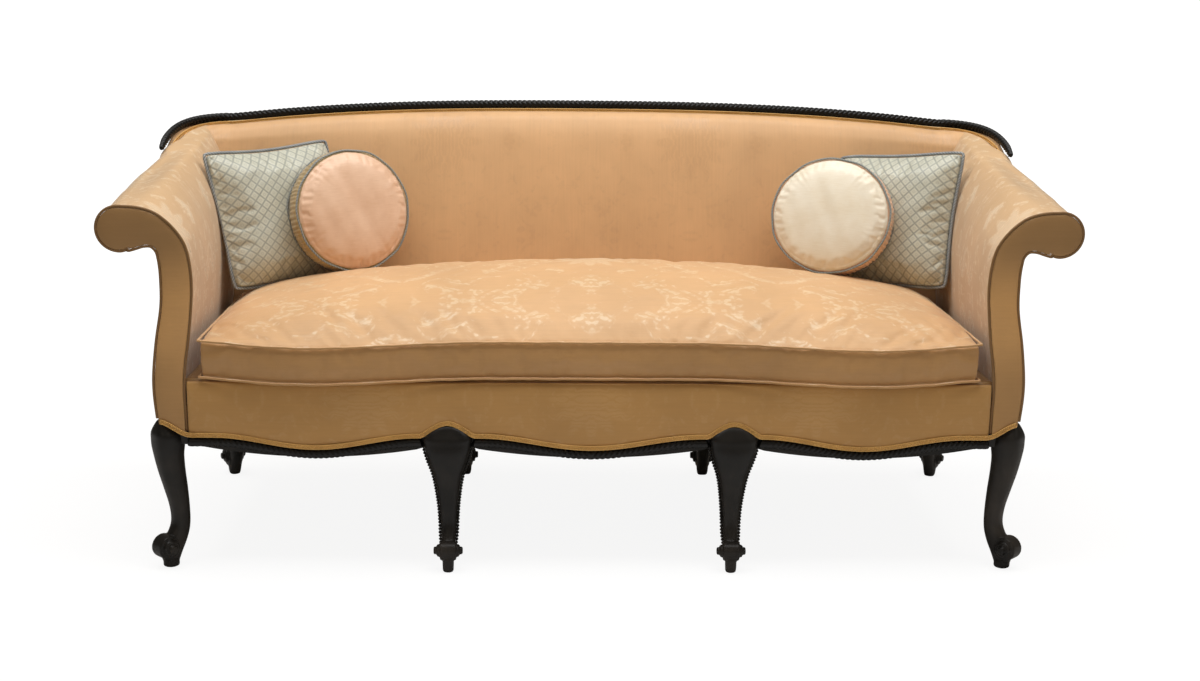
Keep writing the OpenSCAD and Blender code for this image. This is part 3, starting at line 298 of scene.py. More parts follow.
def adder(tree):
    """A short way to add a node with its inputs to a tree."""
    def add(kind, inputs=None, **settings):
        node = tree.nodes.new("ShaderNode" + kind)
        for key, value in settings.items():
            setattr(node, key, value)
        fill(tree, node, inputs or {})
        return node.outputs

    return add


def material(name):
    """A new node material, its tree, its Principled shader and its way to add nodes."""
    made = bpy.data.materials.new(name)
    made.use_nodes = True
    tree = made.node_tree
    return made, tree, tree.nodes["Principled BSDF"], adder(tree)


world = bpy.data.worlds.new("studio")
scene.world = world
world.use_nodes = True
world_tree = world.node_tree
add = adder(world_tree)
sky = world_tree.nodes["Background"]
fill(world_tree, sky, {"Color": (1.0, 0.89, 0.74, 1), "Strength": 0.20})
white = add("Background", {"Color": (1, 1, 1, 1), "Strength": 1.0})
seen = add("LightPath")
direct = add("Math", {0: seen["Is Camera Ray"], 1: seen["Is Transmission Ray"]},
             operation="MAXIMUM")
chosen_sky = add("MixShader", {0: direct[0], 1: sky.outputs[0], 2: white[0]})
fill(world_tree, world_tree.nodes["World Output"], {"Surface": chosen_sky[0]})

floor_bm = bmesh.new()
bmesh.ops.create_grid(floor_bm, x_segments=1, y_segments=1, size=60)
floor_mesh = mesh_of(floor_bm, "studio_floor")
floor = bpy.data.objects.new("studio_floor", floor_mesh)
scene.collection.objects.link(floor)
floor_paint, tree, shader, add = material("studio_floor")
fill(tree, shader, {"Base Color": (0.86, 0.86, 0.86, 1), "Roughness": 0.9,
                    "Specular IOR Level": 0.1})
path = add("LightPath")
far = add("SeparateXYZ", {0: add("TexCoord")["Object"]})[1]
brightness = add("MapRange", {0: far, 1: 0.3, 2: 2.5, 3: 1.12, 4: 1.35})[0]
glow = add("Emission", {"Color": (1, 1, 1, 1), "Strength": brightness})
lit = add("MixShader", {0: 0.80, 1: shader.outputs[0], 2: glow[0]})
camera_only = add("MixShader", {0: path["Is Camera Ray"], 1: shader.outputs[0], 2: lit[0]})
fill(tree, tree.nodes["Material Output"], {"Surface": camera_only[0]})
floor_mesh.materials.append(floor_paint)

# %% [markdown]
# The cover is a silk damask: one colour of thread, woven so that the figure lies in one direction
# and the ground in the other. The figure shows because it shines differently, not because it is
# dyed. Here that shine is also painted into the figure's colour as a painted sheen, paler than the
# ground on the seat and arms and darker on the back, and the pieces in shade, the arm fronts, the
# seat's border and boxing, the deck and the arms' piping, take darker copies of the silk as painted
# shade. A damask repeats down the cloth and mirrors about each repeat's middle, so the pattern here
# is a noise that is read in folded coordinates: it comes out as leafy blots with a mirror line,
# which is what the eye takes for damask.

# %% Damask


def damask(name, ground, figure, source="uv", repeat=(0.46, 0.62), shine=0.42, contrast=1.0,
           scale=12.0, upright=None, sheen=0.25, painted_light_by_height=False):
    """Silk whose figure is a folded noise. Repeats are in metres."""
    made, tree, shader, add = material(name)
    if source == "uv":
        place = add("UVMap", uv_map="cloth")[0]
        split = add("SeparateXYZ", {0: place})
        across, along = split[0], split[1]
    else:
        # A top face is read from above, an upright one from the front
        place = add("TexCoord")["Object"]
        facing = add("SeparateXYZ", {0: add("NewGeometry")["Normal"]})[2]
        split = add("SeparateXYZ", {0: place})
        is_top = add("MapRange", {0: facing, 1: 0.35, 2: 0.6})[0]
        across = split[0]
        along = add("Mix", {0: is_top, 2: split[2], 3: split[1]}, data_type="FLOAT")[0]

    def calc(operation, a, b=0.0, c=0.0):
        return add("Math", {0: a, 1: b, 2: c}, operation=operation)[0]

    column = calc("PINGPONG", across, repeat[0] / 2)
    row = calc("PINGPONG", along, repeat[1] / 2)
    folded = add("CombineXYZ", {0: column, 1: row})[0]
    leaves = add("TexNoise", {"Vector": folded, "Scale": scale, "Detail": 3.0, "Roughness": 0.55,
                              "Distortion": 2.4})[0]
    veins = add("TexWave", {"Vector": folded, "Scale": 30.0, "Distortion": 11.0, "Detail": 2.0,
                            "Detail Scale": 1.2}, wave_type="BANDS", bands_direction="Y")["Fac"]
    feather = add("TexWave", {"Vector": folded, "Scale": 13.0, "Distortion": 16.0, "Detail": 3.0,
                              "Detail Scale": 1.6},
                  wave_type="BANDS", bands_direction="DIAGONAL")["Fac"]
    # A round flower head where two mirror lines cross, with a ring of lobes
    reach = add("VectorMath", {0: folded}, operation="LENGTH")["Value"]
    turn = calc("ARCTAN2", column, row)
    lobes = calc("MULTIPLY_ADD", calc("COSINE", calc("MULTIPLY", turn, 12.0)), 0.016, 0.075)
    flower = add("MapRange", {0: calc("SUBTRACT", lobes, reach), 1: -0.012, 2: 0.008})[0]
    leaf = add("MapRange", {0: leaves, 1: 0.50, 2: 0.60})[0]
    vein = add("MapRange", {0: veins, 1: 0.55, 2: 0.95})[0]
    spiky = add("MapRange", {0: feather, 1: 0.35, 2: 0.65, 3: 0.25, 4: 1.0})[0]
    veined = calc("MULTIPLY", flower, calc("SUBTRACT", 1.0, calc("MULTIPLY", vein, 0.7)))
    shape = calc("MAXIMUM", veined, calc("MULTIPLY", leaf, spiky))
    shape = calc("MULTIPLY", shape, calc("SUBTRACT", 1.0, calc("MULTIPLY", vein, 0.30)))
    # Worn and folded silk is uneven, more along the cloth than across it
    soft = add("TexNoise", {"Vector": place, "Scale": 3.5, "Detail": 4.0, "Roughness": 0.6})[0]
    fine = add("VectorMath", {0: place, 1: (9.0, 230.0, 230.0)}, operation="MULTIPLY")[0]
    slub = add("TexNoise", {"Vector": fine, "Scale": 1.0, "Detail": 2.0})[0]
    shown = calc("MULTIPLY", shape, contrast)
    # Painted sheen: the figure's colour is set paler or darker than the ground, by how the light
    # falls on each piece
    colour = add("Mix", {0: shown, 6: (*ground, 1), 7: (*figure, 1)}, data_type="RGBA")[2]
    if upright:
        # Painted shade: upright faces, such as the seat's boxing, take a darker colour than the top
        colour = add("Mix", {0: is_top, 6: (*upright, 1), 7: colour}, data_type="RGBA")[2]
    tone = add("MapRange", {0: soft, 1: 0.3, 2: 0.7, 3: 0.90, 4: 1.08})[0]
    fleck = add("MapRange", {0: slub, 1: 0.3, 2: 0.7, 3: 0.975, 4: 1.02})[0]
    shade = calc("MULTIPLY", tone, fleck)
    if painted_light_by_height:
        # Painted light and shade by height: the pad's swell below the scroll is painted paler and
        # the scroll darker
        height_at = add("SeparateXYZ", {0: add("TexCoord")["Object"]})[2]
        painted_light_gain, dark = (add("MapRange", {0: height_at, 1: low, 2: high, 3: 1.0, 4: tone_shift},
                          interpolation_type="SMOOTHSTEP")[0]
                      for low, high, tone_shift in ((0.42, 0.57, 1.36), (0.61, 0.76, 0.56)))
        shade = calc("MULTIPLY", shade, calc("MULTIPLY", painted_light_gain, dark))
    tinted = add("VectorMath", {0: colour, "Scale": shade}, operation="SCALE")[0]
    rough = add("MapRange", {0: shape, 3: shine + 0.14, 4: shine - 0.10})[0]
    weave = add("TexWave", {"Vector": place, "Scale": 420.0, "Distortion": 0.6},
                bands_direction="Y")["Fac"]
    creases = add("TexNoise", {"Vector": place, "Scale": 26.0, "Detail": 3.0, "Roughness": 0.55,
                               "Distortion": 0.6})[0]
    cloth = calc("MULTIPLY_ADD", weave, 0.03, calc("MULTIPLY", creases, 0.45))
    raised = calc("MULTIPLY_ADD", shape, 0.10, cloth)
    bump = add("Bump", {"Strength": 0.35, "Distance": 0.0022, "Height": raised})["Normal"]
    fill(tree, shader, {"Base Color": tinted, "Roughness": rough, "Normal": bump,
                        "Sheen Weight": sheen, "Sheen Roughness": 0.4, "Specular IOR Level": 0.4})
    return made


damask_uv = damask("silk_damask", (0.64, 0.385, 0.19), (0.575, 0.345, 0.175), contrast=0.6,
                   shine=0.40)
# Painted sheen: the arms' copy has a paler figure, which stands in for the highlights on the silk
damask_arm_painted_sheen = damask("silk_damask_arm", (0.61, 0.40, 0.215), (0.79, 0.615, 0.42), contrast=0.8,
                    shine=0.36, repeat=(0.40, 0.50), scale=13.0, sheen=0.3)
# Painted shade: the seat's boxing takes the darker upright colour
damask_seat = damask("silk_damask_seat", (0.67, 0.405, 0.20), (0.76, 0.545, 0.33), source="object",
                     repeat=(0.86, 0.52), shine=0.40, scale=10.0, upright=(0.50, 0.275, 0.105))
# Painted shade: the seat's border is a darker copy of the silk
damask_front = damask("silk_damask_front", (0.50, 0.27, 0.085), (0.55, 0.315, 0.118),
                      source="object", repeat=(0.5, 0.4), contrast=0.5)
# Painted shade: the deck under the seat cushion is a darker copy of the silk
damask_plain = damask("silk_damask_painted_shade", (0.47, 0.265, 0.105), (0.43, 0.24, 0.095),
                      source="object", repeat=(0.3, 0.3), contrast=0.3)
# Painted shade: the arm fronts are a darker copy of the silk, with painted light and shade by
# height
damask_facing = damask("silk_damask_arm_front", (0.46, 0.255, 0.095), (0.43, 0.235, 0.085),
                       source="object", repeat=(0.3, 0.3), contrast=0.3, painted_light_by_height=True)
# The arm fronts' piping is partly a darker cord and partly a painted shadow along its seam
damask_piping = damask("silk_piping", (0.22, 0.115, 0.038), (0.20, 0.105, 0.035),
                       source="object", contrast=0.2)

# %% [markdown]
# The frame is hardwood stained black and waxed. It is not pure black: a grey-brown bloom lightens
# it, mostly low down on the broad faces of the legs. The bloom is partly wear, where the brown of
# the wood comes through, and partly a painted sheen for the light that the lower legs catch. Its
# shine is a thin wax shine with small scratches, so the shader's specular level is low: a higher
# one would show the white studio as grey all over the wood.

# %% Ebonised wood and the hidden timber


def wood(name, dark, light, grain, wear_and_sheen, roughness, above=0.4, wax=None):
    """Grained wood, with a bloom, partly wear and partly painted sheen, that fades to a share above
    the legs.
    """
    made, tree, shader, add = material(name)
    place = add("TexCoord")["Object"]
    stretched = add("Mapping", {"Vector": place, "Scale": grain})[0]
    figure = add("TexNoise", {"Vector": stretched, "Scale": 6.0, "Detail": 5.0,
                              "Distortion": 0.8})[0]
    cloud = add("TexNoise", {"Vector": place, "Scale": 7.0, "Detail": 3.0, "Roughness": 0.6})[0]
    clouded = add("MapRange", {0: cloud, 1: 0.42, 2: 0.72})[0]
    grained = add("MapRange", {0: figure, 1: 0.3, 2: 0.75})[0]
    tone_shift = add("Math", {0: clouded, 1: grained}, operation="MULTIPLY")[0]
    # Painted sheen and wear: the wood is paler low down, and the bloom fades to a share above the
    # legs
    height = add("SeparateXYZ", {0: place})[2]
    low = add("MapRange", {0: height, 1: 0.10, 2: 0.30, 3: wear_and_sheen, 4: wear_and_sheen * above})[0]
    amount = add("Math", {0: tone_shift, 1: low}, operation="MULTIPLY")[0]
    colour = add("Mix", {0: amount, 6: (*dark, 1), 7: (*light, 1)}, data_type="RGBA")[2]
    rough = add("MapRange", {0: cloud, 1: 0.3, 2: 0.7, 3: roughness - 0.07, 4: roughness + 0.1})[0]
    scratches = add("TexNoise", {"Vector": stretched, "Scale": 60.0, "Detail": 3.0})[0]
    bump = add("Bump", {"Strength": 0.25, "Distance": 0.0006, "Height": scratches})["Normal"]
    fill(tree, shader, {"Base Color": colour, "Roughness": rough, "Normal": bump})
    if wax:
        fill(tree, shader, {"Coat Weight": wax[0], "Coat Roughness": wax[1],
                            "Specular IOR Level": 0.2})
    return made


UPRIGHT_GRAIN, LEVEL_GRAIN = (1.0, 1.0, 0.16), (0.16, 1.0, 1.0)
ebony = wood("ebonised_wood", (0.010, 0.009, 0.008), (0.078, 0.064, 0.052), UPRIGHT_GRAIN, 1.0,
             0.36, wax=(0.05, 0.25))
ebony_rope = wood("ebonised_rope", (0.0045, 0.0040, 0.0037), (0.016, 0.013, 0.011),
                  UPRIGHT_GRAIN, 1.0, 0.30, wax=(0.12, 0.16))
beech = wood("beech", (0.52, 0.37, 0.21), (0.66, 0.50, 0.32), LEVEL_GRAIN, 0.9, 0.55, above=1.0)
print("wood materials:", ebony.name, beech.name)

# %% [markdown]
# The rail that crowns the back sweeps level across the middle, then turns forward in a quarter of
# an ellipse at each end while it drops. Every skin near it is measured from this one line.

# %% The line of the crest rail


def crest_z(x):
    """Height of the crest's top, at a distance from the sofa's middle."""
    return OVERALL_H - CREST_FALL * (np.abs(x) / TURN_X) ** 2.6


def crest_back_y(x):
    """Depth of the crest, which falls forward with the back's lean."""
    return CREST_Y - (OVERALL_H - crest_z(x)) * TAN_RAKE


def turn_z(a):
    """Height on the crest's turn, which starts at 90 degrees and ends at 0."""
    return crest_z(TURN_X) - CREST_END_DROP * (1 - np.sin(np.radians(a))) ** 2.5


def turn_at(a):
    a = np.asarray(a, float)
    rad = np.radians(a)
    return np.stack([TURN_X + TURN_W * np.cos(rad),
                     crest_back_y(TURN_X) - TURN_D * (1 - np.sin(rad)), turn_z(a)], -1)


def turn_angle(y):
    """Where on the turn a depth lies, in degrees."""
    return np.degrees(np.arcsin(np.clip(1 - (crest_back_y(TURN_X) - y) / TURN_D, 0, 1)))


def turn_out(a):
    """The level direction straight out of the turn."""
    rad = np.radians(np.asarray(a, float))
    n = np.stack([TURN_D * np.cos(rad), TURN_W * np.sin(rad), 0 * rad], -1)
    return n / np.linalg.norm(n, axis=-1, keepdims=True)


CREST_POINTS = 1500
straight = np.linspace(0, TURN_X, 8)
crest_half = np.vstack([np.stack([straight, crest_back_y(straight), crest_z(straight)], 1),
                        turn_at(np.arange(80, -1, -8))])
crest_line = smooth_line(np.vstack([(crest_half * [-1, 1, 1])[:0:-1], crest_half]),
                         CREST_POINTS)
crest_run = np.linalg.norm(np.diff(crest_line, axis=0), axis=1).sum()
print("crest rail along its curve:", round(crest_run / 1000, 2), "m")


def stile_y(z):
    return REAR_RAIL_Y + (z - RAIL_TOP) * TAN_RAKE


def back_face_y(z):
    return stile_y(z) - (BACK_PAD + THIN + GAP) / COS_RAKE


# %% [markdown]
# The arms scroll outwards like a rolled collar. Seen from the front an arm is an S: it swells
# inwards above the seat, then rolls up, over and down to the scroll. The same S runs back along
# the arm, gets smaller, and slips in under the crest. Each arm's cover is one skin through these
# outlines, with small drawn creases where the cloth is pulled round the roll.

# %% Outlines of an arm
inner_front = np.array([
    [0.13, 0.005], [0.135, 0.12], [0.11, 0.26], [0.07, 0.38], [0.025, 0.56], [0.005, 0.70],
    [0.02, 0.82], [0.06, 0.91], [0.14, 0.98], [0.25, 1.04], [0.38, 1.085], [0.54, 1.108]])
inner_rear = np.array([
    [0.09, 0.005], [0.09, 0.12], [0.08, 0.26], [0.07, 0.38], [0.06, 0.56], [0.07, 0.70],
    [0.10, 0.85], [0.145, 0.985], [0.20, 1.095], [0.265, 1.185], [0.33, 1.26], [0.385, 1.305]])
outer_front = np.array([
    [0.49, 0.86], [0.39, 0.815], [0.30, 0.735], [0.315, 0.58], [0.385, 0.38], [0.43, 0.2],
    [0.435, 0.08], [0.415, -0.05]])
# Size of the roll along the arm, from the front to the crest
roll_share_at = ([0, 0.25, 0.5, 0.62, 0.70, 0.78, 0.88, 1],
                 [1, 1, 0.95, 0.86, 0.74, 0.50, 0.30, 0.23])
ARM_FRONT_Y = RAIL_Y + GAP
ARM_TOP_Z = OVERALL_H - CREST_FALL - CREST_D - SCROLL_R * 0.5
FRONT_SCROLL_X = HALF_W - SCROLL_R - 2 * PIPING_R - GAP
ROLL_START, ROLL_END = 78.0, -130.0


def arm_place(shares):
    return np.array([SEAT_HALF_W, RAIL_TOP]) + shares * [ARM_W, ARM_H]


def arm_y(t, z):
    return mix(ARM_FRONT_Y, back_face_y(z) - GAP * 2, t)


def roll_r(t):
    return SCROLL_R * float(np.interp(t, *roll_share_at))


def roll_mid(t):
    """The roll's middle, across and up, at a share of the way from front to back."""
    r, w = roll_r(t), float(ease((t - 0.42) / 0.3))
    a = turn_angle(arm_y(t, ARM_TOP_Z))
    # Where the crest ends, the cover comes up flush with its outer side and hides the braid
    flush = 1 - float(ease((t - 0.73) / 0.12))
    ahead = np.array([FRONT_SCROLL_X + SCROLL_R * 0.2 * t, SCROLL_Z + SCROLL_R * t])
    under = np.array([turn_at(a)[0] - CREST_D * mix(0.75, -0.42, flush) - r,
                      float(turn_z(a)) - CREST_D - mix(GIMP_H * 0.45, -3.5, flush) - r])
    return mix(ahead, under, w)


def arm_outline(t, count):
    """The inside arm's outline from the seat over the roll, across and up."""
    c, r = roll_mid(t), roll_r(t)
    angle = np.radians(np.append(98, np.linspace(ROLL_START, ROLL_END, 11)))
    inner = arm_place(mix(inner_front, inner_rear, t))
    roll = c + r * np.stack([np.cos(angle), np.sin(angle)], 1)
    return smooth_line(np.vstack([inner, roll]), count)


def waves(x, seed, scale, octaves=3):
    """A smooth wandering value, the same every run."""
    rng = np.random.default_rng(seed)
    total = 0 * np.asarray(x, float)
    for k in range(octaves):
        start = rng.uniform(0, 6.28)
        total = total + np.sin(np.asarray(x) * scale * 1.9 ** k + start) / 1.7 ** k
    return total / 1.6


# %% Covers of the arms
depth_steps = np.concatenate([np.linspace(0, 0.6, 55), np.linspace(0.6, 1, 60)[1:]])
PROFILE, ARM_RUN = 150, 600


def inside_arm_rows(side):
    rows = []
    for t in depth_steps:
        line = arm_outline(t, PROFILE)
        s = np.linspace(0, 1, PROFILE)
        y = arm_y(t, line[:, 1])
        tangent = np.gradient(line, axis=0)
        out = np.stack([-tangent[:, 1], tangent[:, 0]], 1)
        out /= np.linalg.norm(out, axis=1)[:, None]
        # Tucked in at the seams: against the front piping, the seat and the inside back
        ahead, behind = t * ARM_RUN, (1 - t) * ARM_RUN
        tuck = (3.0 * np.exp(-ahead / 6)
                + 7.0 * np.exp(-(behind / 9)) * (1 - ease((s - 0.55) / 0.1)))
        # The cloth is drawn in folds where it goes over the roll near each end
        fold = (waves(ahead + 40 * s, 5 + side, 0.10) * 0.8 * np.exp(-behind / 150)
                + waves(ahead * 0.4 + 90 * s, 15 + side, 0.12) * 0.7) * ease((s - 0.15) / 0.3)
        middle = np.sin(math.pi * np.clip(t, 0, 1)) ** 0.5
        body = waves(ahead * 0.5 - 200 * s, 25 + side, 0.022) * 1.1 * middle
        line = line + out * (fold * 0.55 + body * 0.6 - tuck)[:, None]
        rows.append(np.stack([side * line[:, 0], y, line[:, 1]], 1))
    return np.array(rows)


for side, word in ((-1, "left"), (1, "right")):
    arm = skin(f"{word}_arm_cover", "frame", "damask", inside_arm_rows(side), damask_arm_painted_sheen,
               thickness=9, inside=(side * 960, 300, 560))
    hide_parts(f"{word}_inside_arm")
print("arm covers:", len(arm.data.polygons), "faces each")

# %% [markdown]
# The inside back is one wide panel of stuffing under silk. It leans with the frame, bellies a
# little above the seat and rolls back into the braid at the top, where the cloth shows the small
# upright gathers that the tacks make. It is modelled flat and then leant back with the frame.

# %% Inside back
BACK_SHARES = np.array([[0, 0], [0.07, 0.3], [0.2, 0.75], [0.42, 1], [0.66, 0.9], [0.86, 0.45],
                        [0.95, -0.5], [0.985, -1.6], [1, -2.9]])


def lean(points):
    p = np.asarray(points, float)
    return np.stack([p[..., 0], REAR_RAIL_Y + p[..., 1] * COS_RAKE + p[..., 2] * SIN_RAKE,
                     RAIL_TOP - p[..., 1] * SIN_RAKE + p[..., 2] * COS_RAKE], -1)


def deck_at(y):
    return DECK_Z - DECK_FALL * np.maximum(0, y) / REAR_RAIL_Y


def lean_s(z):
    return (z - RAIL_TOP) / COS_RAKE


def inside_back_rows(columns):
    """Upright rows of the inside back, from the seat to the braid."""
    foot, rows = deck_at(REAR_RAIL_Y - 2 * BACK_PAD) + GAP, []
    for x in columns:
        # Beyond the stiles the panel follows the bend of the crest
        bend = math.degrees(math.acos(np.clip((abs(x) - TURN_X) / TURN_W, 0, 1)))
        ahead = TURN_D * (1 - math.sin(math.radians(bend))) if abs(x) > TURN_X else 0.0
        low = lean_s(foot)
        top = lean_s((crest_z(x) if abs(x) < TURN_X else turn_z(bend)) - CREST_D - GIMP_H - GAP)
        full = max(0.04, 1 - (abs(x) / SEAT_HALF_W) ** 4)
        line = smooth_line(BACK_SHARES * [top - low, BACK_BELLY], 90)
        up, out = line[:, 0], line[:, 1]
        v = up / (top - low)
        out = np.where(out > 0, out * full, out)
        gathers = waves(x, 3, 0.19) * 0.5 * np.exp(-(top - low - up) / 26)
        middle = np.sin(math.pi * np.clip(v, 0, 1)) ** 0.7
        tension = waves(x * 0.5 + up * 0.15, 7, 0.02) * 1.5 * middle
        out = out + gathers + tension * full
        y = -THIN - GAP - BACK_PAD - out
        z = low + y * TAN_RAKE * (1 - v) + up
        rows.append(lean(np.stack([np.full_like(y, x), y, z], 1)) - [0, ahead, 0])
    return np.array(rows)


BACK_HALF = 964
back_edge = SEAT_HALF_W + ARM_W * 0.07 + ARM_PAD
inside_back = skin("inside_back_cover", "frame", "damask",
                   inside_back_rows(np.linspace(-BACK_HALF, BACK_HALF, 330)), damask_uv,
                   thickness=10, inside=(0, 800, 600))
# What the arms hide is cut away, along a line that climbs outwards
ear_x = [back_edge, back_edge + 1, REAR_OUT_X, BACK_HALF]
ear_z = [0, RAIL_TOP + ARM_H * 0.86, 790, 850]
panel = bmesh.new()
panel.from_mesh(inside_back.data)
behind_arm = []
for face in panel.faces:
    at = face.calc_center_median() * 1000
    if abs(at.x) > back_edge and at.z < np.interp(abs(at.x), ear_x, ear_z):
        behind_arm.append(face)
bmesh.ops.delete(panel, geom=behind_arm, context="FACES")
panel.to_mesh(inside_back.data)
panel.free()
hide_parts("inside_back")
print("inside back:", len(inside_back.data.polygons), "faces")

# %% [markdown]
# Outside, the arm and the back are plain panels of the same silk, drawn tight from rail to rail.
# They have no stuffing, so they are single sheets. The outside arm starts at the neck of the
# scroll, hollows below it, and further back climbs to the crest instead.

# %% Outside arms
CORNER_Y, CORNER_BLOCK_Y = RAIL_Y + BLOCK_W / 2, RAIL_Y + BLOCK_W
REAR_BLOCK_Y = FRAME_D - REAR_BLOCK_D
COVER_T, WING_END = 3.5, 74.0
OUTER_LOW_Z = RAIL_FOOT + THIN
# How far the cover hollows under the scroll, as shares of the scroll, from its foot up
HOLLOW_AT = ([0, 0.14, 0.26, 0.45, 0.65, 0.82, 0.9, 0.94, 0.965, 0.985, 1],
             [0, 0, 0.11, 0.45, 0.89, 1.12, 1.16, 1.12, 1.04, 0.9, 0.2])


def outer_back_y(z):
    top = CREST_Y + CREST_D / 2 - COVER_T - GAP
    return mix(FRAME_D, top, (z - RAIL_TOP) / (OVERALL_H - CREST_D - RAIL_TOP))


def outer_y(t, z):
    return mix(RAIL_Y + GAP, outer_back_y(max(z, RAIL_TOP)), t)


def outer_top(t):
    """Where the outside arm's cover ends at the top: under the roll, then under the crest."""
    c, r, w = roll_mid(t), roll_r(t), float(ease((t - 0.7) / 0.12))
    a = float(turn_angle(outer_y(t, ARM_TOP_Z)))
    turn = math.radians(mix(ROLL_END, -20, float(ease((t - 0.6) / 0.1))))
    # The edge is tucked into the thickness of the roll's own cover
    reach = r - 2.5
    neck = np.array([c[0] + reach * math.cos(turn), arm_y(t, ARM_TOP_Z),
                     c[1] + reach * math.sin(turn)])
    wing = turn_at(min(a, WING_END)) + turn_out(a) * CREST_D * 0.3 - [0, 0, CREST_D + GAP]
    return mix(neck, wing, w)


def outer_low(t):
    """Where it ends at the foot: over the corner leg's block, then along the side rail."""
    y = float(outer_y(t, RAIL_TOP))
    knee = float(ease((y - CORNER_BLOCK_Y) / (BLOCK_W * 0.25)))
    share = ((np.clip(y, CORNER_BLOCK_Y, REAR_BLOCK_Y) - CORNER_BLOCK_Y)
             / (REAR_BLOCK_Y - CORNER_BLOCK_Y))
    return np.array([mix(FRONT_OUT_X, REAR_OUT_X, share) + COVER_T + GAP * 2, y,
                     mix(RAIL_TOP - OVER * 3, OUTER_LOW_Z, knee)])


def outside_arm_rows(side):
    rows = []
    v = np.sin(np.linspace(0, math.pi / 2, 110))
    hollow = np.interp(v, *HOLLOW_AT)
    hollow = np.convolve(np.pad(hollow, 3, mode="edge"), np.ones(7) / 7, "valid")
    hollow[0] = hollow[-1] = 0
    for t in np.linspace(0, 1, 110):
        line = mix(outer_low(t), outer_top(t), v[:, None])
        line[:, 0] -= SCROLL_R * (1 - float(ease((t - 0.6) / 0.35))) * hollow
        line[:, 0] += waves(t * 300 + v * 90, 41 + side, 0.03) * 0.5 * np.sin(math.pi * v)
        # At the rear it stays in front of the outside back
        leant = outer_back_y(np.maximum(line[:, 2], RAIL_TOP)) + GAP + COVER_T
        line[:, 1] += np.minimum(leant - line[:, 1], 0) * float(ease((t - 0.75) / 0.25))
        rows.append(line * [side, 1, 1])
    return rows


def stretched(piece, rests_on):
    """Prints the size of sheet that a tight cover is cut from, wide enough for the area that its
    mesh has.
    """
    size = np.array(piece.bound_box).max(0) - np.array(piece.bound_box).min(0)
    area = sum(f.area for f in piece.data.polygons)
    long, wide = sorted(size)[2], sorted(size)[1]
    wide = max(wide, area / long * 1.0001)
    print(piece.name, "cut", round(long, 2), "by", round(wide, 2), "m")


for side, word in ((-1, "left"), (1, "right")):
    outside = skin(f"{word}_outside_arm_cover", "frame", "damask", outside_arm_rows(side),
                   damask_uv, thickness=2, inside=(side * 700, 300, 560))
    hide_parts(f"{word}_outside_arm")
    stretched(outside, [f"{word}_side_rail"])

# %% Outside back
# Its side edges turn forward to meet the rear edges of the outside arms
rear_edge, back_rows = outside_arm_rows(1)[-1], []
for x in np.linspace(-REAR_OUT_X, REAR_OUT_X, 200):
    top = crest_z(min(abs(x), TURN_X)) - CREST_D - GAP * 2 - THIN
    z = np.concatenate([np.linspace(OUTER_LOW_Z, RAIL_TOP, 10), np.linspace(RAIL_TOP, top, 61)[1:]])
    y = np.where(z < RAIL_TOP, FRAME_D, outer_back_y(z)) + GAP + COVER_T
    y = y + waves(x * 0.4 + z * 0.3, 51, 0.02) * 0.5
    wide, edge_y = (np.interp(z, rear_edge[:, 2], rear_edge[:, k]) for k in (0, 1))
    y = mix(y, edge_y, float(ease((abs(x) / REAR_OUT_X - 0.965) / 0.035)))
    back_rows.append(np.stack([x / REAR_OUT_X * wide, y, z], 1))
outside_back = skin("outside_back_cover", "frame", "damask", back_rows, damask_uv, thickness=2,
                    inside=(0, 400, 600))
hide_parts("outside_back")
stretched(outside_back, ["rear_rail"])

# %% [markdown]
# The line of braid under the seat dips between the legs and rises over each knee. The padded
# border above it and the flat front of each arm end on that line, so it comes first.

# %% The swagged line and the border
SWAG_LOW, SWAG_RISE, DOME_RISE, CORNER_RISE, SHOW_WOOD = 281.0, 31.0, 29.0, 31.0, 22.0
MID_HEAD_W = 104.0
BAY_HALF = (FRONT_OUT_X - MID_LEG_X) * 0.46
BAY_MID, DOME_HALF, CORNER_HALF = MID_LEG_X + BAY_HALF, MID_HEAD_W * 0.58, BLOCK_W * 1.2


def bump(d, half):
    return np.where(np.abs(d) >= half, 0, (1 + np.cos(np.pi * np.asarray(d) / half)) / 2)


def swag(x):
    a = np.abs(np.asarray(x, float))
    bay = np.abs(np.where(a < MID_LEG_X, a / MID_LEG_X, (a - BAY_MID) / BAY_HALF))
    dip = (1 - np.cos(np.pi * np.minimum(bay / 0.78, 1))) / 2
    return (SWAG_LOW + SWAG_RISE * 0.88 * dip + DOME_RISE * bump(a - MID_LEG_X, DOME_HALF) ** 0.66
            + CORNER_RISE * bump(a - FRONT_OUT_X - SCROLL_R * 0.13, CORNER_HALF))


BORDER_SHARES = np.array([[0, 0.1], [0.25, 0.32], [0.55, 0.4], [0.8, 0.3], [0.95, 0.05], [1, -0.3]])
BORDER_HALF = SEAT_HALF_W + ARM_W * 0.13 - 2 * PIPING_R - THIN
border_rows = []
for x in np.linspace(-BORDER_HALF, BORDER_HALF, 420):
    low, top = swag(x) + GAP, DECK_Z - 6
    line = smooth_line(BORDER_SHARES * [top - low, PAD_T], 40)
    end = np.exp(-(BORDER_HALF - abs(x)) / 12)
    out = line[:, 1] * (1 - 0.5 * end) + waves(x + line[:, 0] * 0.3, 61, 0.018) * 0.9
    rows_x = np.stack([np.full_like(out, x), -out, low + line[:, 0]], 1)
    border_rows.append(np.vstack([rows_x, [x, RAIL_Y - GAP, top]]))
border = skin("front_border_cover", "frame", "damask", border_rows, damask_front, thickness=6,
              inside=(0, 300, 350))
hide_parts("front_border")

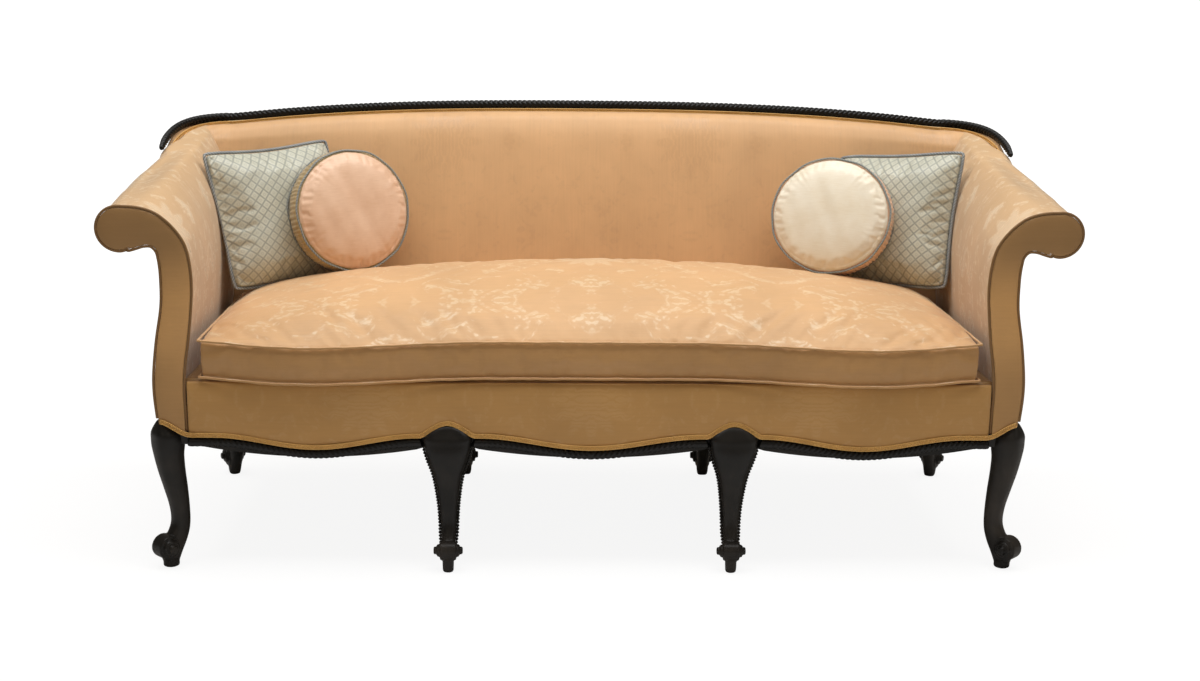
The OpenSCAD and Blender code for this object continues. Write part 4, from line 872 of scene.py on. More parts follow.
deck_front, deck_rear = (SEAT_HALF_W + ARM_W * share - OVER * 0.8 for share in (0.13, 0.09))
deck_rows = []
for y in np.linspace(RAIL_Y + GAP, REAR_RAIL_Y - GAP, 50):
    half = mix(deck_front, deck_rear, (y - RAIL_Y) / (REAR_RAIL_Y - RAIL_Y))
    x = np.linspace(-half, half, 160)
    z = deck_at(y) - 1.2 + waves(x + y, 71, 0.02) * 0.5
    deck_rows.append(np.stack([x, np.full_like(x, y), z], 1))
deck = skin("seat_deck_cover", "frame", "damask", deck_rows, damask_plain, thickness=30,
            inside=(0, 300, 300))
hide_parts("seat_deck")
print("border and deck made")

# %% [markdown]
# The front of each arm is a flat panel with the outline of the scroll, lightly padded so that it
# rounds off towards its edge, where a piping hides the seam. A flat outline can be cut by many
# planes into small faces, and then each point moves forward by how far it lies from the edge.

# %% Arm fronts and their piping


def side_of(line):
    step = np.gradient(line, axis=0)
    out = np.stack([step[:, 1], -step[:, 0]], 1)
    return out / np.linalg.norm(out, axis=1)[:, None]


front_inner = arm_outline(0.0, 260)
scroll_low = front_inner[:, 1] > SCROLL_Z - SCROLL_R * 0.97
scroll_end = np.argmax(np.arange(260) * (scroll_low | (front_inner[:, 0] > FRONT_SCROLL_X)))
front_inner = front_inner[:scroll_end]
NECK = [[1001, 727.6], [984, 732], [968, 737], [954, 738.5], [943, 734], [935, 722], [931, 700],
        [929, 668]]
front_outer = smooth_line(np.vstack([NECK, arm_place(outer_front)[3:]]), 150)
front_line = smooth_line(np.vstack([front_inner[::4], front_outer[::3], front_outer[-1:]]), 400)
foot_in, foot_out = front_inner[0, 0], front_outer[-1, 0]


def cut_panel(name, outline, pitch):
    """A flat panel with that outline in X and Z, cut into faces of about the pitch."""
    panel = bmesh.new()
    corners = [panel.verts.new((p[0], 0, p[1])) for p in outline]
    panel.faces.new(corners)
    for axis, normal in ((0, (1, 0, 0)), (1, (0, 0, 1))):
        for at in np.arange(outline[:, axis].min() + pitch / 2, outline[:, axis].max(), pitch):
            spot = (at, 0, 0) if axis == 0 else (0, 0, at)
            bmesh.ops.bisect_plane(panel, geom=panel.verts[:] + panel.edges[:] + panel.faces[:],
                                   dist=1e-4, plane_co=spot, plane_no=normal)
    return panel


def verts_in(geometry):
    return [g for g in geometry if isinstance(g, bmesh.types.BMVert)]


def edge_distance(points, line):
    """How far each point lies from a line."""
    a, b = line[:-1], line[1:]
    ab = b - a
    size = (ab ** 2).sum(1) + 1e-9
    best = np.full(len(points), 1e9)
    for k in range(len(a)):
        t = np.clip(((points - a[k]) @ ab[k]) / size[k], 0, 1)
        best = np.minimum(best, np.linalg.norm(points - (a[k] + t[:, None] * ab[k]), axis=1))
    return best


for side, word in ((-1, "left"), (1, "right")):
    foot_x = np.linspace(foot_out, foot_in, 60)
    foot = np.stack([foot_x, swag(foot_x) + GAP], 1)
    outline = np.vstack([front_line, foot])
    panel = cut_panel("facing", outline, 5.0)
    panel.verts.ensure_lookup_table()
    flat_at = np.array([[v.co.x, v.co.z] for v in panel.verts])
    away = edge_distance(flat_at, np.vstack([front_line, foot[:1]]))
    uneven = waves(flat_at[:, 1] * 0.8 + flat_at[:, 0] * 0.5, 81 + side, 0.03) * 0.7
    lift = 3.2 * (1 - np.exp(-away / 9)) + uneven
    uv = panel.loops.layers.uv.new("cloth")
    for face in panel.faces:
        for loop in face.loops:
            loop[uv].uv = (loop.vert.co.x / 1000 + 0.11, loop.vert.co.z / 1000)
    for v, out in zip(panel.verts, lift):
        v.co = metres((side * v.co.x, 1.2 - out, v.co.z))
    open_edges = [e for e in panel.edges if e.is_boundary]
    for v in verts_in(bmesh.ops.extrude_edge_only(panel, edges=open_edges)["geom"]):
        v.co.y = metres((0, RAIL_Y - GAP, 0))[1]
    bmesh.ops.holes_fill(panel, edges=[e for e in panel.edges if e.is_boundary], sides=0)
    facing = new_object(f"{word}_arm_front", to_mesh(panel, "facing"), "frame",
                        damask_facing)
    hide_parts(f"{word}_facing")

    low_in, low_out = (float(swag(x)) + GAP + FRONT_GIMP_H for x in (foot_in, foot_out))
    trail_in = [[foot_in, z] for z in np.linspace(low_in, front_inner[0, 1], 20, endpoint=False)]
    trail_out = [[foot_out, z] for z in np.linspace(front_outer[-1, 1], low_out, 12)[1:]]
    whole = smooth_line(np.vstack([trail_in, front_line[::6], trail_out]), 700)
    path = whole - side_of(whole) * (PIPING_R + GAP)
    path = np.stack([side * path[:, 0], np.full(len(path), PIPING_R), path[:, 1]], 1)
    piping = tube(f"{word}_arm_piping", "frame", "damask_piping", path, PIPING_R, damask_piping,
                  up=(0, -1, 0), around=10)
    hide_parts(f"{word}_facing_piping")
print("arm fronts:", len(facing.data.polygons), "faces each")

# %% [markdown]
# A gimp is a narrow woven braid that hides the tacks along the wood. Two fine cords edge it and a
# third waves between them, so it is modelled as those three cords on a thin tape.

# %% Braid along the wood
FULL_TURN, BRAID_STEP = 6.2832, 1.6


def thread(name, light, dark, pitch=0.004, shine=0.45):
    """Twisted yarn, read along the piece's own cloth coordinates."""
    made, tree, shader, add = material(name)
    place = add("UVMap", uv_map="cloth")[0]
    split = add("SeparateXYZ", {0: place})
    lay = add("Math", {0: split[1], 1: split[0]}, operation="ADD")[0]
    turns = add("Math", {0: lay, 1: FULL_TURN / pitch}, operation="MULTIPLY")[0]
    wave = add("Math", {0: turns}, operation="SINE")[0]
    level = add("MapRange", {0: wave, 1: -1.0, 2: 1.0})[0]
    cloud = add("TexNoise", {"Vector": add("TexCoord")["Object"], "Scale": 30.0, "Detail": 3.0})[0]
    mixed = add("Math", {0: level, 1: cloud, 2: 0.15}, operation="MULTIPLY_ADD")[0]
    colour = add("Mix", {0: mixed, 6: (*dark, 1), 7: (*light, 1)}, data_type="RGBA")[2]
    bumped = add("Bump", {"Strength": 0.6, "Distance": 0.0006, "Height": level})["Normal"]
    fill(tree, shader, {"Base Color": colour, "Roughness": shine, "Sheen Weight": 0.2,
                        "Normal": bumped})
    return made


gold = thread("gold_braid", (0.95, 0.58, 0.17), (0.50, 0.25, 0.05), pitch=0.0052)


def braid(name, node, path, outward_y, height=GIMP_H):
    """Three cords on a tape along a path, which is the middle of the braid."""
    run = run_along(path)
    even = np.arange(0, run[-1], BRAID_STEP)
    line = np.stack([np.interp(even, run, path[:, k]) for k in range(3)], 1)
    side, top = frames_along(line, (0, 0, 1), False)
    run = np.arange(len(line)) * BRAID_STEP
    h, r = height / 2, 1.25
    parts = []
    for k, (lift, radius) in enumerate(((h - r, r), (-h + r, r), (0, 1.0))):
        rise = lift if k < 2 else (h - 2 * r) * np.sin(run * 2 * math.pi / 9)[:, None]
        cord = line + top * rise + side * outward_y
        parts.append(tube(f"{name}_{k}", "frame", "gold_braid", cord, radius, gold, around=6))
    tape = np.stack([line + top * (h - 0.6), line - top * (h - 0.6)], 1)
    parts.append(skin(f"{name}_tape", "frame", "gold_braid", tape, gold, inside=(0, 400, 500)))
    piece = join(name, "frame", parts, gold)
    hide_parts(node)
    return piece


gimp_x = np.linspace(-FRONT_OUT_X + 1, FRONT_OUT_X - 1, 900)
gimp_path = np.stack([gimp_x, np.full_like(gimp_x, -PAD_T * 0.19 - GAP - 0.9),
                      swag(gimp_x) + GAP + FRONT_GIMP_H / 2], 1)
front_braid = braid("front_braid", "front_gimp", gimp_path, 0.6, FRONT_GIMP_H)

from_top = CREST_D + GIMP_H / 2
crest_in = CREST_Y - stile_y(OVERALL_H - from_top) + 1.8 + GAP
step = np.gradient(crest_line, axis=0)
inwards = np.stack([step[:, 1], -step[:, 0], 0 * step[:, 0]], 1)
inwards /= np.linalg.norm(inwards, axis=1)[:, None]
crest_braid_path = crest_line + inwards * crest_in - [0, 0, from_top]
crest_braid = braid("crest_braid", "crest_gimp", crest_braid_path, 0.6)
print("braids:", len(front_braid.data.polygons), len(crest_braid.data.polygons), "faces")

# %% [markdown]
# The two rope mouldings are carved, not twisted: a round rail with slanting cuts. A tube whose
# radius dips along a slanting line gives the same cut at every step of the rope.

# %% Carved ropes
crest_path = crest_line - [0, 0, CREST_D / 2]
order = np.arange(CREST_POINTS)
near_end = np.minimum(order, order[::-1]) * crest_run / CREST_POINTS
crest_r = CREST_D / 2 * mix(0.74, 1, ease(near_end / 50))
bed_path = crest_line[30:-30] - [0, 0, CREST_D - 1]
crest_parts = [
    tube("strands", "frame", "ebonised_wood", crest_path, crest_r, ebony_rope, around=28,
         strands=4, lay=49, depth=0.34, taper=8, twist=0),
    tube("bed", "frame", "ebonised_wood", bed_path, 3.6, ebony_rope, around=10, taper=4)]
rope = join("crest_rope", "frame", crest_parts, ebony_rope)
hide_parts("crest_rail")

LEG_EDGE = 55.7
rope_r, parts = SHOW_WOOD * 0.5, []
corner_x = FRONT_OUT_X - BLOCK_W / 2
ends = corner_x - BLOCK_W * 0.42
bays = ((-ends, -MID_LEG_X - LEG_EDGE), (-MID_LEG_X + LEG_EDGE, MID_LEG_X - LEG_EDGE),
        (MID_LEG_X + LEG_EDGE, ends))
for k, (a, b) in enumerate(bays):
    x = np.linspace(a, b, int((b - a) / 2.2))
    path = np.stack([x, np.full_like(x, RAIL_Y * 0.45), swag(x) - SHOW_WOOD * 0.57], 1)
    fade = 0.38 * ease(np.minimum(x - a, b - x) / 70)
    parts.append(tube(f"rope_{k}", "frame", "ebonised_wood", path, rope_r, ebony_rope, around=24,
                      strands=4, lay=46, depth=fade, flat=0.76, taper=5, twist=(-1, 0, 1)[k]))
front_rope = join("front_rope", "frame", parts, ebony_rope)
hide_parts("front_rope_moulding")
print("ropes:", len(rope.data.polygons), len(front_rope.data.polygons), "faces")

# %% [markdown]
# Each cabriole leg is one carved stick: a knee under the rail, a slim ankle and a foot that curls
# into a scroll over a small sole. Its form is a stack of rounded square sections whose back, front
# and width change with height, so it is a skin like the rest. The scroll's discs are turned
# pieces, melted into the skin by a voxel remesh, and a raised line winds round each disc's face.

# %% Sections of the legs
# Height, back, front and half width, as shares of the leg's height, toe reach and knee
CORNER_LEG = np.array([
    [0.00, 0.32, 0.70, 0.38], [0.03, 0.26, 0.76, 0.44], [0.09, 0.12, 0.84, 0.50],
    [0.16, -0.06, 0.80, 0.54], [0.23, -0.17, 0.52, 0.56], [0.30, -0.20, 0.38, 0.60],
    [0.40, -0.19, 0.42, 0.64], [0.52, -0.15, 0.58, 0.70], [0.64, -0.09, 0.75, 0.76],
    [0.74, -0.06, 0.86, 0.84], [0.81, -0.08, 0.91, 0.92], [0.87, -0.05, 0.92, 0.93],
    [0.91, 0.06, 0.92, 0.84], [0.95, 0.20, 0.85, 0.62], [0.985, 0.42, 0.76, 0.34],
    [1.00, 0.54, 0.70, 0.15]])
MID_LEG = np.array([
    [0.00, 0.53, 0.85, 0.21], [0.03, 0.46, 0.92, 0.24], [0.09, 0.30, 0.96, 0.25],
    [0.16, 0.02, 0.82, 0.29], [0.23, -0.15, 0.54, 0.34], [0.30, -0.20, 0.40, 0.36],
    [0.40, -0.20, 0.38, 0.40], [0.49, -0.18, 0.48, 0.46], [0.58, -0.16, 0.62, 0.54],
    [0.66, -0.15, 0.73, 0.65], [0.74, -0.15, 0.80, 0.83], [0.81, -0.15, 0.83, 0.96],
    [0.87, -0.15, 0.80, 1.02], [0.895, -0.05, 0.79, 1.04], [0.92, 0.00, 0.76, 1.00],
    [0.947, 0.05, 0.70, 0.82], [0.97, 0.10, 0.64, 0.60], [0.988, 0.14, 0.56, 0.37],
    [1.00, 0.20, 0.46, 0.10]])
REAR_LEG = np.array([
    [0.00, 0.28, 0.65, 0.38], [0.03, 0.22, 0.71, 0.44], [0.09, 0.08, 0.78, 0.48],
    [0.16, -0.09, 0.72, 0.52], [0.23, -0.19, 0.48, 0.55], [0.32, -0.25, 0.30, 0.58],
    [0.44, -0.26, 0.28, 0.62], [0.56, -0.27, 0.28, 0.67], [0.68, -0.28, 0.28, 0.71],
    [0.80, -0.29, 0.28, 0.73], [0.86, -0.29, 0.28, 0.74]])
KNEE_HALF_W, MID_KNEE_HALF_W, SOLE_R, SCROLL_MID_Z = 33.0, 52.0, 13.0, TOE_R * 1.78
CORNER_LEG_H = RAIL_TOP - BRIDLE_STRIP + THIN / 2
MID_LEG_H = SWAG_LOW + SWAG_RISE + DOME_RISE - THIN / 2
CARVING_VOXEL = 0.0019  # metres


def power(value, e):
    """A power that keeps the sign."""
    return np.sign(value) * np.abs(value) ** e


def leg_section(row, angle, height, half_w):
    s, back, front, w = row
    e = mix(0.8, 0.7, float(ease((s - 0.76) / 0.08)))
    half_d = (front - back) / 2 * TOE_REACH
    y = -mix(back, front, 0.5) * TOE_REACH + half_d * power(np.sin(angle), e)
    return np.stack([w * half_w * power(np.cos(angle), e), y, np.full_like(y, s * height)], -1)


def leg_rows(shares, height, half_w, levels=130, around=60):
    angle = np.linspace(0, 2 * math.pi, around, endpoint=False)
    return [leg_section(row, angle, height, half_w) for row in smooth_line(shares, levels)]


# %% Turned and boxed parts of a leg


def disc(bm, radius, width, at, upright=False, soft=2.0):
    """A turned disc with softened edges, lying across the leg or upright under it."""
    made = bmesh.ops.create_cone(bm, cap_ends=True, segments=56, radius1=radius, radius2=radius,
                                 depth=width)
    rims = {e for v in made["verts"] for e in v.link_edges if len(e.link_faces) == 2
            and {len(f.verts) for f in e.link_faces} == {4, 56}}
    turn = Matrix.Identity(4) if upright else Matrix.Rotation(math.radians(90), 4, "Y")
    bmesh.ops.transform(bm, matrix=Matrix.Translation(at) @ turn, verts=made["verts"])
    bmesh.ops.bevel(bm, geom=list(rims), offset=soft, segments=3, profile=0.5, affect="EDGES",
                    material=-1)


def block(bm, low, high, soft=1.2):
    made = bmesh.ops.create_cube(bm, size=1)
    size = Vector(high) - Vector(low)
    bmesh.ops.scale(bm, vec=size, verts=made["verts"])
    bmesh.ops.translate(bm, vec=Vector(low) + size / 2, verts=made["verts"])
    edges = list({e for v in made["verts"] for e in v.link_edges})
    bmesh.ops.bevel(bm, geom=edges, offset=soft, segments=2, profile=0.5, affect="EDGES",
                    material=-1)


def moved(mesh, turn, at, side):
    """Turns and places a leg's mesh in millimetres, mirrors it, and puts it in metres."""
    bm = bmesh.new()
    bm.from_mesh(mesh)
    place = (Matrix.Scale(0.001, 4) @ Matrix.Translation((0, -MID_Y, 0))
             @ Matrix.Diagonal((side, 1, 1, 1)) @ Matrix.Translation((at[0], at[1], 0))
             @ Matrix.Rotation(math.radians(turn), 4, "Z"))
    bmesh.ops.transform(bm, matrix=place, verts=bm.verts)
    bm.to_mesh(mesh)
    bm.free()
    return mesh


def evaluated(thing):
    """A new mesh with an object's modifiers applied."""
    graph = bpy.context.evaluated_depsgraph_get()
    return bpy.data.meshes.new_from_object(thing.evaluated_get(graph))


def melted(mesh):
    """The outer skin of a mesh of several closed shells."""
    shell = bpy.data.objects.new("shell", mesh)
    scene.collection.objects.link(shell)
    remesh = shell.modifiers.new("melt", "REMESH")
    remesh.mode, remesh.voxel_size = "VOXEL", CARVING_VOXEL
    relax = shell.modifiers.new("relax", "SMOOTH")
    relax.factor, relax.iterations = 0.5, 3
    done = evaluated(shell)
    bpy.data.objects.remove(shell)
    return done


# %% Legs
BEAD_PITCH = 7.6


def spiral(at, radius, face_x):
    """A line that winds from a disc's boss to its rim, on the face at face_x."""
    a = np.linspace(0, 2.6 * math.pi, 90)
    r = np.linspace(radius * 0.38, radius * 0.93, 90)
    return np.stack([np.full(90, face_x), -at + r * np.sin(a), SCROLL_MID_Z + r * np.cos(a)], 1)


def prism(bm, outline, depth):
    """Adds an outline that is drawn out along Y."""
    face = bm.faces.new([bm.verts.new(point) for point in outline])
    grown = bmesh.ops.extrude_face_region(bm, geom=[face])["geom"]
    bmesh.ops.translate(bm, vec=(0, depth, 0), verts=verts_in(grown))


def bracket(bm, way, half_w, height, drop):
    """The hollow curve by which the rail runs down into the leg, as a thin prism."""
    arc = np.radians(np.linspace(180, 270, 9))
    reach, top = drop * 1.15, height * 0.846
    outline = [(0, top), (0, top - drop * 1.2), (way * half_w * 0.72, top - drop * 1.2)]
    for a in arc[1:]:
        outline.append((way * (half_w * 0.80 + reach * (1 + math.cos(a))),
                        top - drop * (1 + math.sin(a))))
    outline.append((way * (half_w * 0.80 + reach), top))
    prism(bm, [(x, -8.0, z) for x, z in outline], 26)


def leg(name, node, shares, height, half_w, toe, body_half, sole_at, at, turn, side,
        beads=False, boxes=(), curl=1.0, sole_r=SOLE_R, fillets=()):
    """One leg: its skin, scroll and sole melted together, with carved lines and head block."""
    bm = bmesh.new()
    rows = np.array(leg_rows(shares, height, half_w)) + [0, MID_Y, 0]
    bm.from_mesh(skin_mesh("leg", rows, sew_columns=True, cap=True))
    bmesh.ops.scale(bm, vec=(1000, 1000, 1000), verts=bm.verts)
    middle = (0, -toe, SCROLL_MID_Z)
    disc(bm, TOE_R * curl, 2 * body_half, middle)
    disc(bm, TOE_R * 0.66 * curl, 2 * body_half * 1.36, middle)
    disc(bm, TOE_R * 0.32, 2 * body_half * 1.8, middle)
    disc(bm, sole_r, TOE_R * 0.7, (0, -sole_at, TOE_R * 0.35), upright=True, soft=4.0)
    for way, drop in fillets:
        bracket(bm, way, half_w, height, drop)
    carved = melted(moved(to_mesh(bm, "leg"), turn, at, side))
    lines = []
    for way in (-1, 1):
        face = way * (body_half * 1.36 + 0.1)
        lines.append((spiral(toe, TOE_R * 0.62 * curl, face), 1.1))
        lines.append((spiral(toe, TOE_R * 0.98 * curl, way * (body_half + 0.1))[45:], 1.2))
    if beads:
        table = smooth_line(shares, 500)
        table = table[(table[:, 0] > 0.17) & (table[:, 0] < 0.86)]
        for way in (-1, 1):
            corner = np.array([math.radians(-4)])
            edge = np.array([leg_section(row, corner, height, half_w)[0] for row in table])
            edge[:, 0] = (edge[:, 0] + 1.8) * way
            beaded = 0.9 + 3.0 * np.abs(np.sin(run_along(edge) * math.pi / BEAD_PITCH))
            lines.append((edge, beaded))
    trim = bmesh.new()
    for path, radius in lines:
        rows = tube_rows(path, radius, around=8, up=(0.2, 1, 0.1)) + [0, MID_Y, 0]
        trim.from_mesh(skin_mesh("line", rows, sew_columns=True, cap=True))
    bmesh.ops.scale(trim, vec=(1000, 1000, 1000), verts=trim.verts)
    lines_mesh = moved(to_mesh(trim, "lines"), turn, at, side)
    head = bmesh.new()
    for low, high in boxes:
        block(head, low, high)
    head_mesh = moved(to_mesh(head, "head"), 0, (0, 0), side)
    whole = bmesh.new()
    for mesh in (carved, lines_mesh, head_mesh):
        whole.from_mesh(mesh)
    piece = new_object(name, to_mesh(whole, name), "frame", ebony)
    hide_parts(node)
    return piece


MID_LEG_Y = RAIL_BACK_Y - TOE_REACH * 0.157
REAR_LEG_Y = FRAME_D - REAR_BLOCK_D * 0.4


def head_box(x, width, y0, y1, top=RAIL_TOP):
    """The two corners of the block at the top of a leg."""
    return (x - width / 2, y0, RAIL_FOOT), (x + width / 2, y1, top)


for side, word in ((-1, "left"), (1, "right")):
    leg(f"{word}_front_leg", f"front_{word}_leg", CORNER_LEG, CORNER_LEG_H, KNEE_HALF_W,
        TOE_REACH * 0.68, KNEE_HALF_W * 0.54, TOE_REACH * 0.51, (corner_x, CORNER_Y), 45, side,
        sole_r=18.0, boxes=[head_box(corner_x, BLOCK_W, RAIL_Y, RAIL_Y + BLOCK_W)])
    leg(f"{word}_centre_leg", f"front_mid_{word}_leg", MID_LEG, MID_LEG_H, MID_KNEE_HALF_W,
        TOE_REACH * 0.66, KNEE_HALF_W * 0.55, TOE_REACH * 0.69, (MID_LEG_X, MID_LEG_Y), 0, side,
        beads=True, curl=0.80, sole_r=12.5, fillets=((-1, 27), (1, 27)),
        boxes=[head_box(MID_LEG_X, MID_HEAD_W, RAIL_Y, RAIL_BACK_Y, RAIL_TOP - BRIDLE_STRIP)])
print("front legs made")

# %% Rear legs and their leaning stiles
STILE_TOP = crest_z(TURN_X) - CREST_D - STILE_DROP


def stile(bm, at_x, half):
    """The part of a rear leg that leans back above the rail."""
    low_z, high_z = RAIL_TOP - THIN, STILE_TOP
    made = bmesh.ops.create_cube(bm, size=1)
    for v in made["verts"]:
        z = high_z if v.co.z > 0 else low_z
        back = float(outer_back_y(max(z, RAIL_TOP)))
        front = float(stile_y(max(z, RAIL_TOP)))
        v.co = (at_x + (half if v.co.x > 0 else -half), back if v.co.y > 0 else front, z)


for side, word in ((-1, "left"), (1, "right")):
    for place_word, at_x, turn in ((f"rear_{word}", REAR_OUT_X - STILE_W / 2, 30),
                                   (f"rear_mid_{word}", MID_REAR_X, 0)):
        piece = leg(f"{place_word}_foot", f"{place_word}_leg", REAR_LEG, CORNER_LEG_H,
                    KNEE_HALF_W, TOE_REACH * 0.60, KNEE_HALF_W * 0.54, TOE_REACH * 0.465,
                    (at_x, REAR_LEG_Y), 180 - turn, side,
                    boxes=[head_box(at_x, STILE_W, REAR_BLOCK_Y, FRAME_D)])
        whole = bmesh.new()
        stile(whole, at_x, STILE_W / 2)
        upper = moved(to_mesh(whole, "stile"), 0, (0, 0), side)
        both = bmesh.new()
        both.from_mesh(piece.data)
        both.from_mesh(upper)
        both.to_mesh(piece.data)
        both.free()
print("legs:", len(piece.data.polygons), "faces in the last")

# %% [markdown]
# The seat cushion is loose: a feather case with a boxed edge and a piping along both seams. It is
# crowned high in the middle and its front droops over the outer thirds, where people have sat. Its
# plain form is a skin through sections. A cloth simulation then fills it with pressure while its
# seams are held, which gives the pull between crown and seam that feathers give.

# %% Form of the seat cushion
CUSHION_HALF, CUSHION_D, CUSHION_Y = SEAT_HALF_W - ARM_PAD, FRAME_D - 81.0, -1.0
BOXING_H, CROWN_H, BOW, DROOP = 88.0, 106.0, 22.0, 10.0


def front_bow(x):
    """How much of its bow and droop the cushion's front has."""
    s = np.maximum(0, (np.minimum(1, np.abs(x) / CUSHION_HALF) - 0.25) / 0.75)
    return np.maximum(0, np.sin(np.pi * s ** 1.5)) ** 1.2


def cushion_front(x):
    return CUSHION_Y - BOW * front_bow(x)


def cushion_edge_z(x, y):
    fall = DROOP * front_bow(x) * np.maximum(0, 1 - np.maximum(0, y) / BOXING_H)
    return deck_at(y) + GAP + BOXING_H - fall


def cushion_crown(u, v):
    """Height over the seam, from shares of the half width and of the depth."""
    w = np.clip(v, 0, 1) ** 1.5
    across = np.maximum(0, 1 - np.abs(u) ** 2.6) ** 0.7
    return CROWN_H * across * np.maximum(0, 1 - np.abs(2 * w - 1) ** 2.6) ** 0.62


def seat_top(x, y):
    front = cushion_front(x)
    v = (y - front) / (CUSHION_Y + CUSHION_D - front)
    return cushion_edge_z(x, y) + cushion_crown(x / CUSHION_HALF, v)


def cushion_rows():
    back, rows = CUSHION_Y + CUSHION_D, []
    steps = np.concatenate([np.linspace(0, 1, 81) ** 1.5 * 0.5,
                            1 - np.linspace(1, 0, 61)[1:] ** 1.5 * 0.5])
    for u in np.sin(np.linspace(-0.5, 0.5, 261) * math.pi) * 0.35 + np.linspace(-1, 1, 261) * 0.65:
        x = u * CUSHION_HALF
        front, full = cushion_front(x), OVER * 0.8 * (1 - abs(u) ** 8)
        lip = float(deck_at(0)) + GAP - DROOP * float(front_bow(x))
        low = np.linspace(back - OVER, RAIL_Y, 30)
        under = np.stack([np.full(30, x), low, deck_at(low) + GAP], 1)
        rise = np.linspace(0, 1, 9)
        edge = np.stack([np.full(9, x), front + OVER * (1 - rise) ** 3
                         - full * np.sin(math.pi * rise),
                         lip + rise * (float(cushion_edge_z(x, front)) - lip)], 1)[:-1]
        y = mix(front, back, steps)
        top = np.stack([np.full(len(y), x), y, seat_top(x, y)], 1)
        high, foot = float(cushion_edge_z(x, back)), float(deck_at(back)) + GAP + OVER
        drop = np.linspace(high, foot, 8)[1:]
        behind = np.stack([np.full(7, x), np.full(7, back), drop], 1)
        rows.append(np.vstack([under, edge, top, behind]))
    return rows


def cushion_round(up, out):
    """The line round the cushion at a height over its foot, and a little outside it."""
    def level(x, y):
        return cushion_edge_z(x, y) - BOXING_H + up

    w, back = CUSHION_HALF, CUSHION_Y + CUSHION_D
    x = np.linspace(-w, w, 120)
    ahead = np.stack([x, cushion_front(x) - out, level(x, cushion_front(x))], 1)
    side_y = np.linspace(float(cushion_front(w)) - out / 2, back + out / 2, 30)
    beside = np.stack([np.full(30, w + out), side_y, level(w, side_y)], 1)
    rear_x = np.linspace(w + out / 2, -w - out / 2, 60)
    behind = np.stack([rear_x, np.full(60, back + out), np.full(60, float(level(w, back)))], 1)
    return np.vstack([ahead, beside, behind, beside[::-1] * [-1, 1, 1]])


# %% Filling a case with cloth simulation


def points_of(mesh):
    flat = np.empty(len(mesh.vertices) * 3)
    mesh.vertices.foreach_get("co", flat)
    return flat.reshape(-1, 3)


def set_points(mesh, points):
    mesh.vertices.foreach_set("co", np.ascontiguousarray(points, dtype=float).ravel())
    mesh.update()


def finished(mesh, kind, **settings):
    """The mesh with one modifier applied."""
    temp = bpy.data.objects.new("temp", mesh)
    scene.collection.objects.link(temp)
    modifier = temp.modifiers.new(kind, kind)
    for key, value in settings.items():
        setattr(modifier, key, value)
    done = evaluated(temp)
    bpy.data.objects.remove(temp)
    return done


def gap_to(line, points):
    """How far each point lies from the nearest of a line's points."""
    tree = KDTree(len(line))
    for k, p in enumerate(line):
        tree.insert(Vector(p), k)
    tree.balance()
    return np.array([tree.find(Vector(p))[2] for p in points])


def puff(mesh, pinned, pressure, shrink, cap, frames=20, bend=0.4):
    """Fills a closed case as cloth under pressure. Nothing moves further than cap, in metres."""
    temp = bpy.data.objects.new("case", mesh)
    scene.collection.objects.link(temp)
    pins = temp.vertex_groups.new(name="pins")
    pins.add([int(i) for i in np.nonzero(pinned)[0]], 1.0, "REPLACE")
    cloth = temp.modifiers.new("cloth", "CLOTH")
    cloth.settings.quality = 5
    cloth.settings.mass = 0.25
    cloth.settings.tension_stiffness = cloth.settings.compression_stiffness = 18
    cloth.settings.bending_stiffness = bend
    cloth.settings.vertex_group_mass = "pins"
    cloth.settings.use_pressure = True
    cloth.settings.uniform_pressure_force = pressure
    cloth.settings.shrink_min = shrink
    cloth.settings.effector_weights.gravity = 0
    cloth.point_cache.frame_start, cloth.point_cache.frame_end = 1, frames
    for k in range(1, frames + 1):
        scene.frame_set(k)
    done = evaluated(temp)
    before, after = points_of(mesh), points_of(done)
    moved_by = after - before
    size = np.linalg.norm(moved_by, axis=1)[:, None]
    set_points(done, before + moved_by * np.minimum(1, cap / np.maximum(size, 1e-9)))
    bpy.data.objects.remove(temp)
    scene.frame_set(1)
    print("filled:", len(after), "points, moved up to", round(float(size.max()) * 1000, 1), "mm")
    return done


def sewn(mesh, voxel, held, pressure, shrink, cap):
    """Fills a case while the points chosen by held stay in place, and smooths it once."""
    case = finished(mesh, "REMESH", mode="VOXEL", voxel_size=voxel)
    case = puff(case, held(points_of(case)), pressure, shrink, cap)
    return finished(case, "SUBSURF", levels=1, render_levels=1)


# %% Seat cushion
upper_seam, lower_seam = (metres(cushion_round(up, 0)) for up in (BOXING_H, PIPING_R * 2))


def held_seat(at):
    _, y, z = millimetres(at).T
    return (gap_to(upper_seam, at) < 0.009) | (z < deck_at(y) + 9)


case = skin_mesh("seat_cushion_case", cushion_rows(), sew_columns=True, cap=True)
case = sewn(case, 0.010, held_seat, 3.0, -0.02, 0.012)
at = points_of(case)
seam_gap = np.minimum(gap_to(upper_seam, at), gap_to(lower_seam, at)) * 1000
case_x, case_y, case_z = millimetres(at).T
puckers = waves(case_x + case_y * 1.3, 91, 0.16) * 0.7 * np.exp(-seam_gap / 22)
soft_hills = (waves(case_x * 0.7 + case_y * 0.9, 93, 0.014) * 1.3
              + waves(case_x - case_y * 1.4, 95, 0.03) * 0.7)
is_top = ease((case_z - seat_top(case_x, case_y) + 30) / 20) * ease(seam_gap / 60)
crown_rise = (13 * np.exp(-((case_x - 30) / 330) ** 2) * ease((case_y - 40) / 200)
              * ease((560 - case_y) / 120))
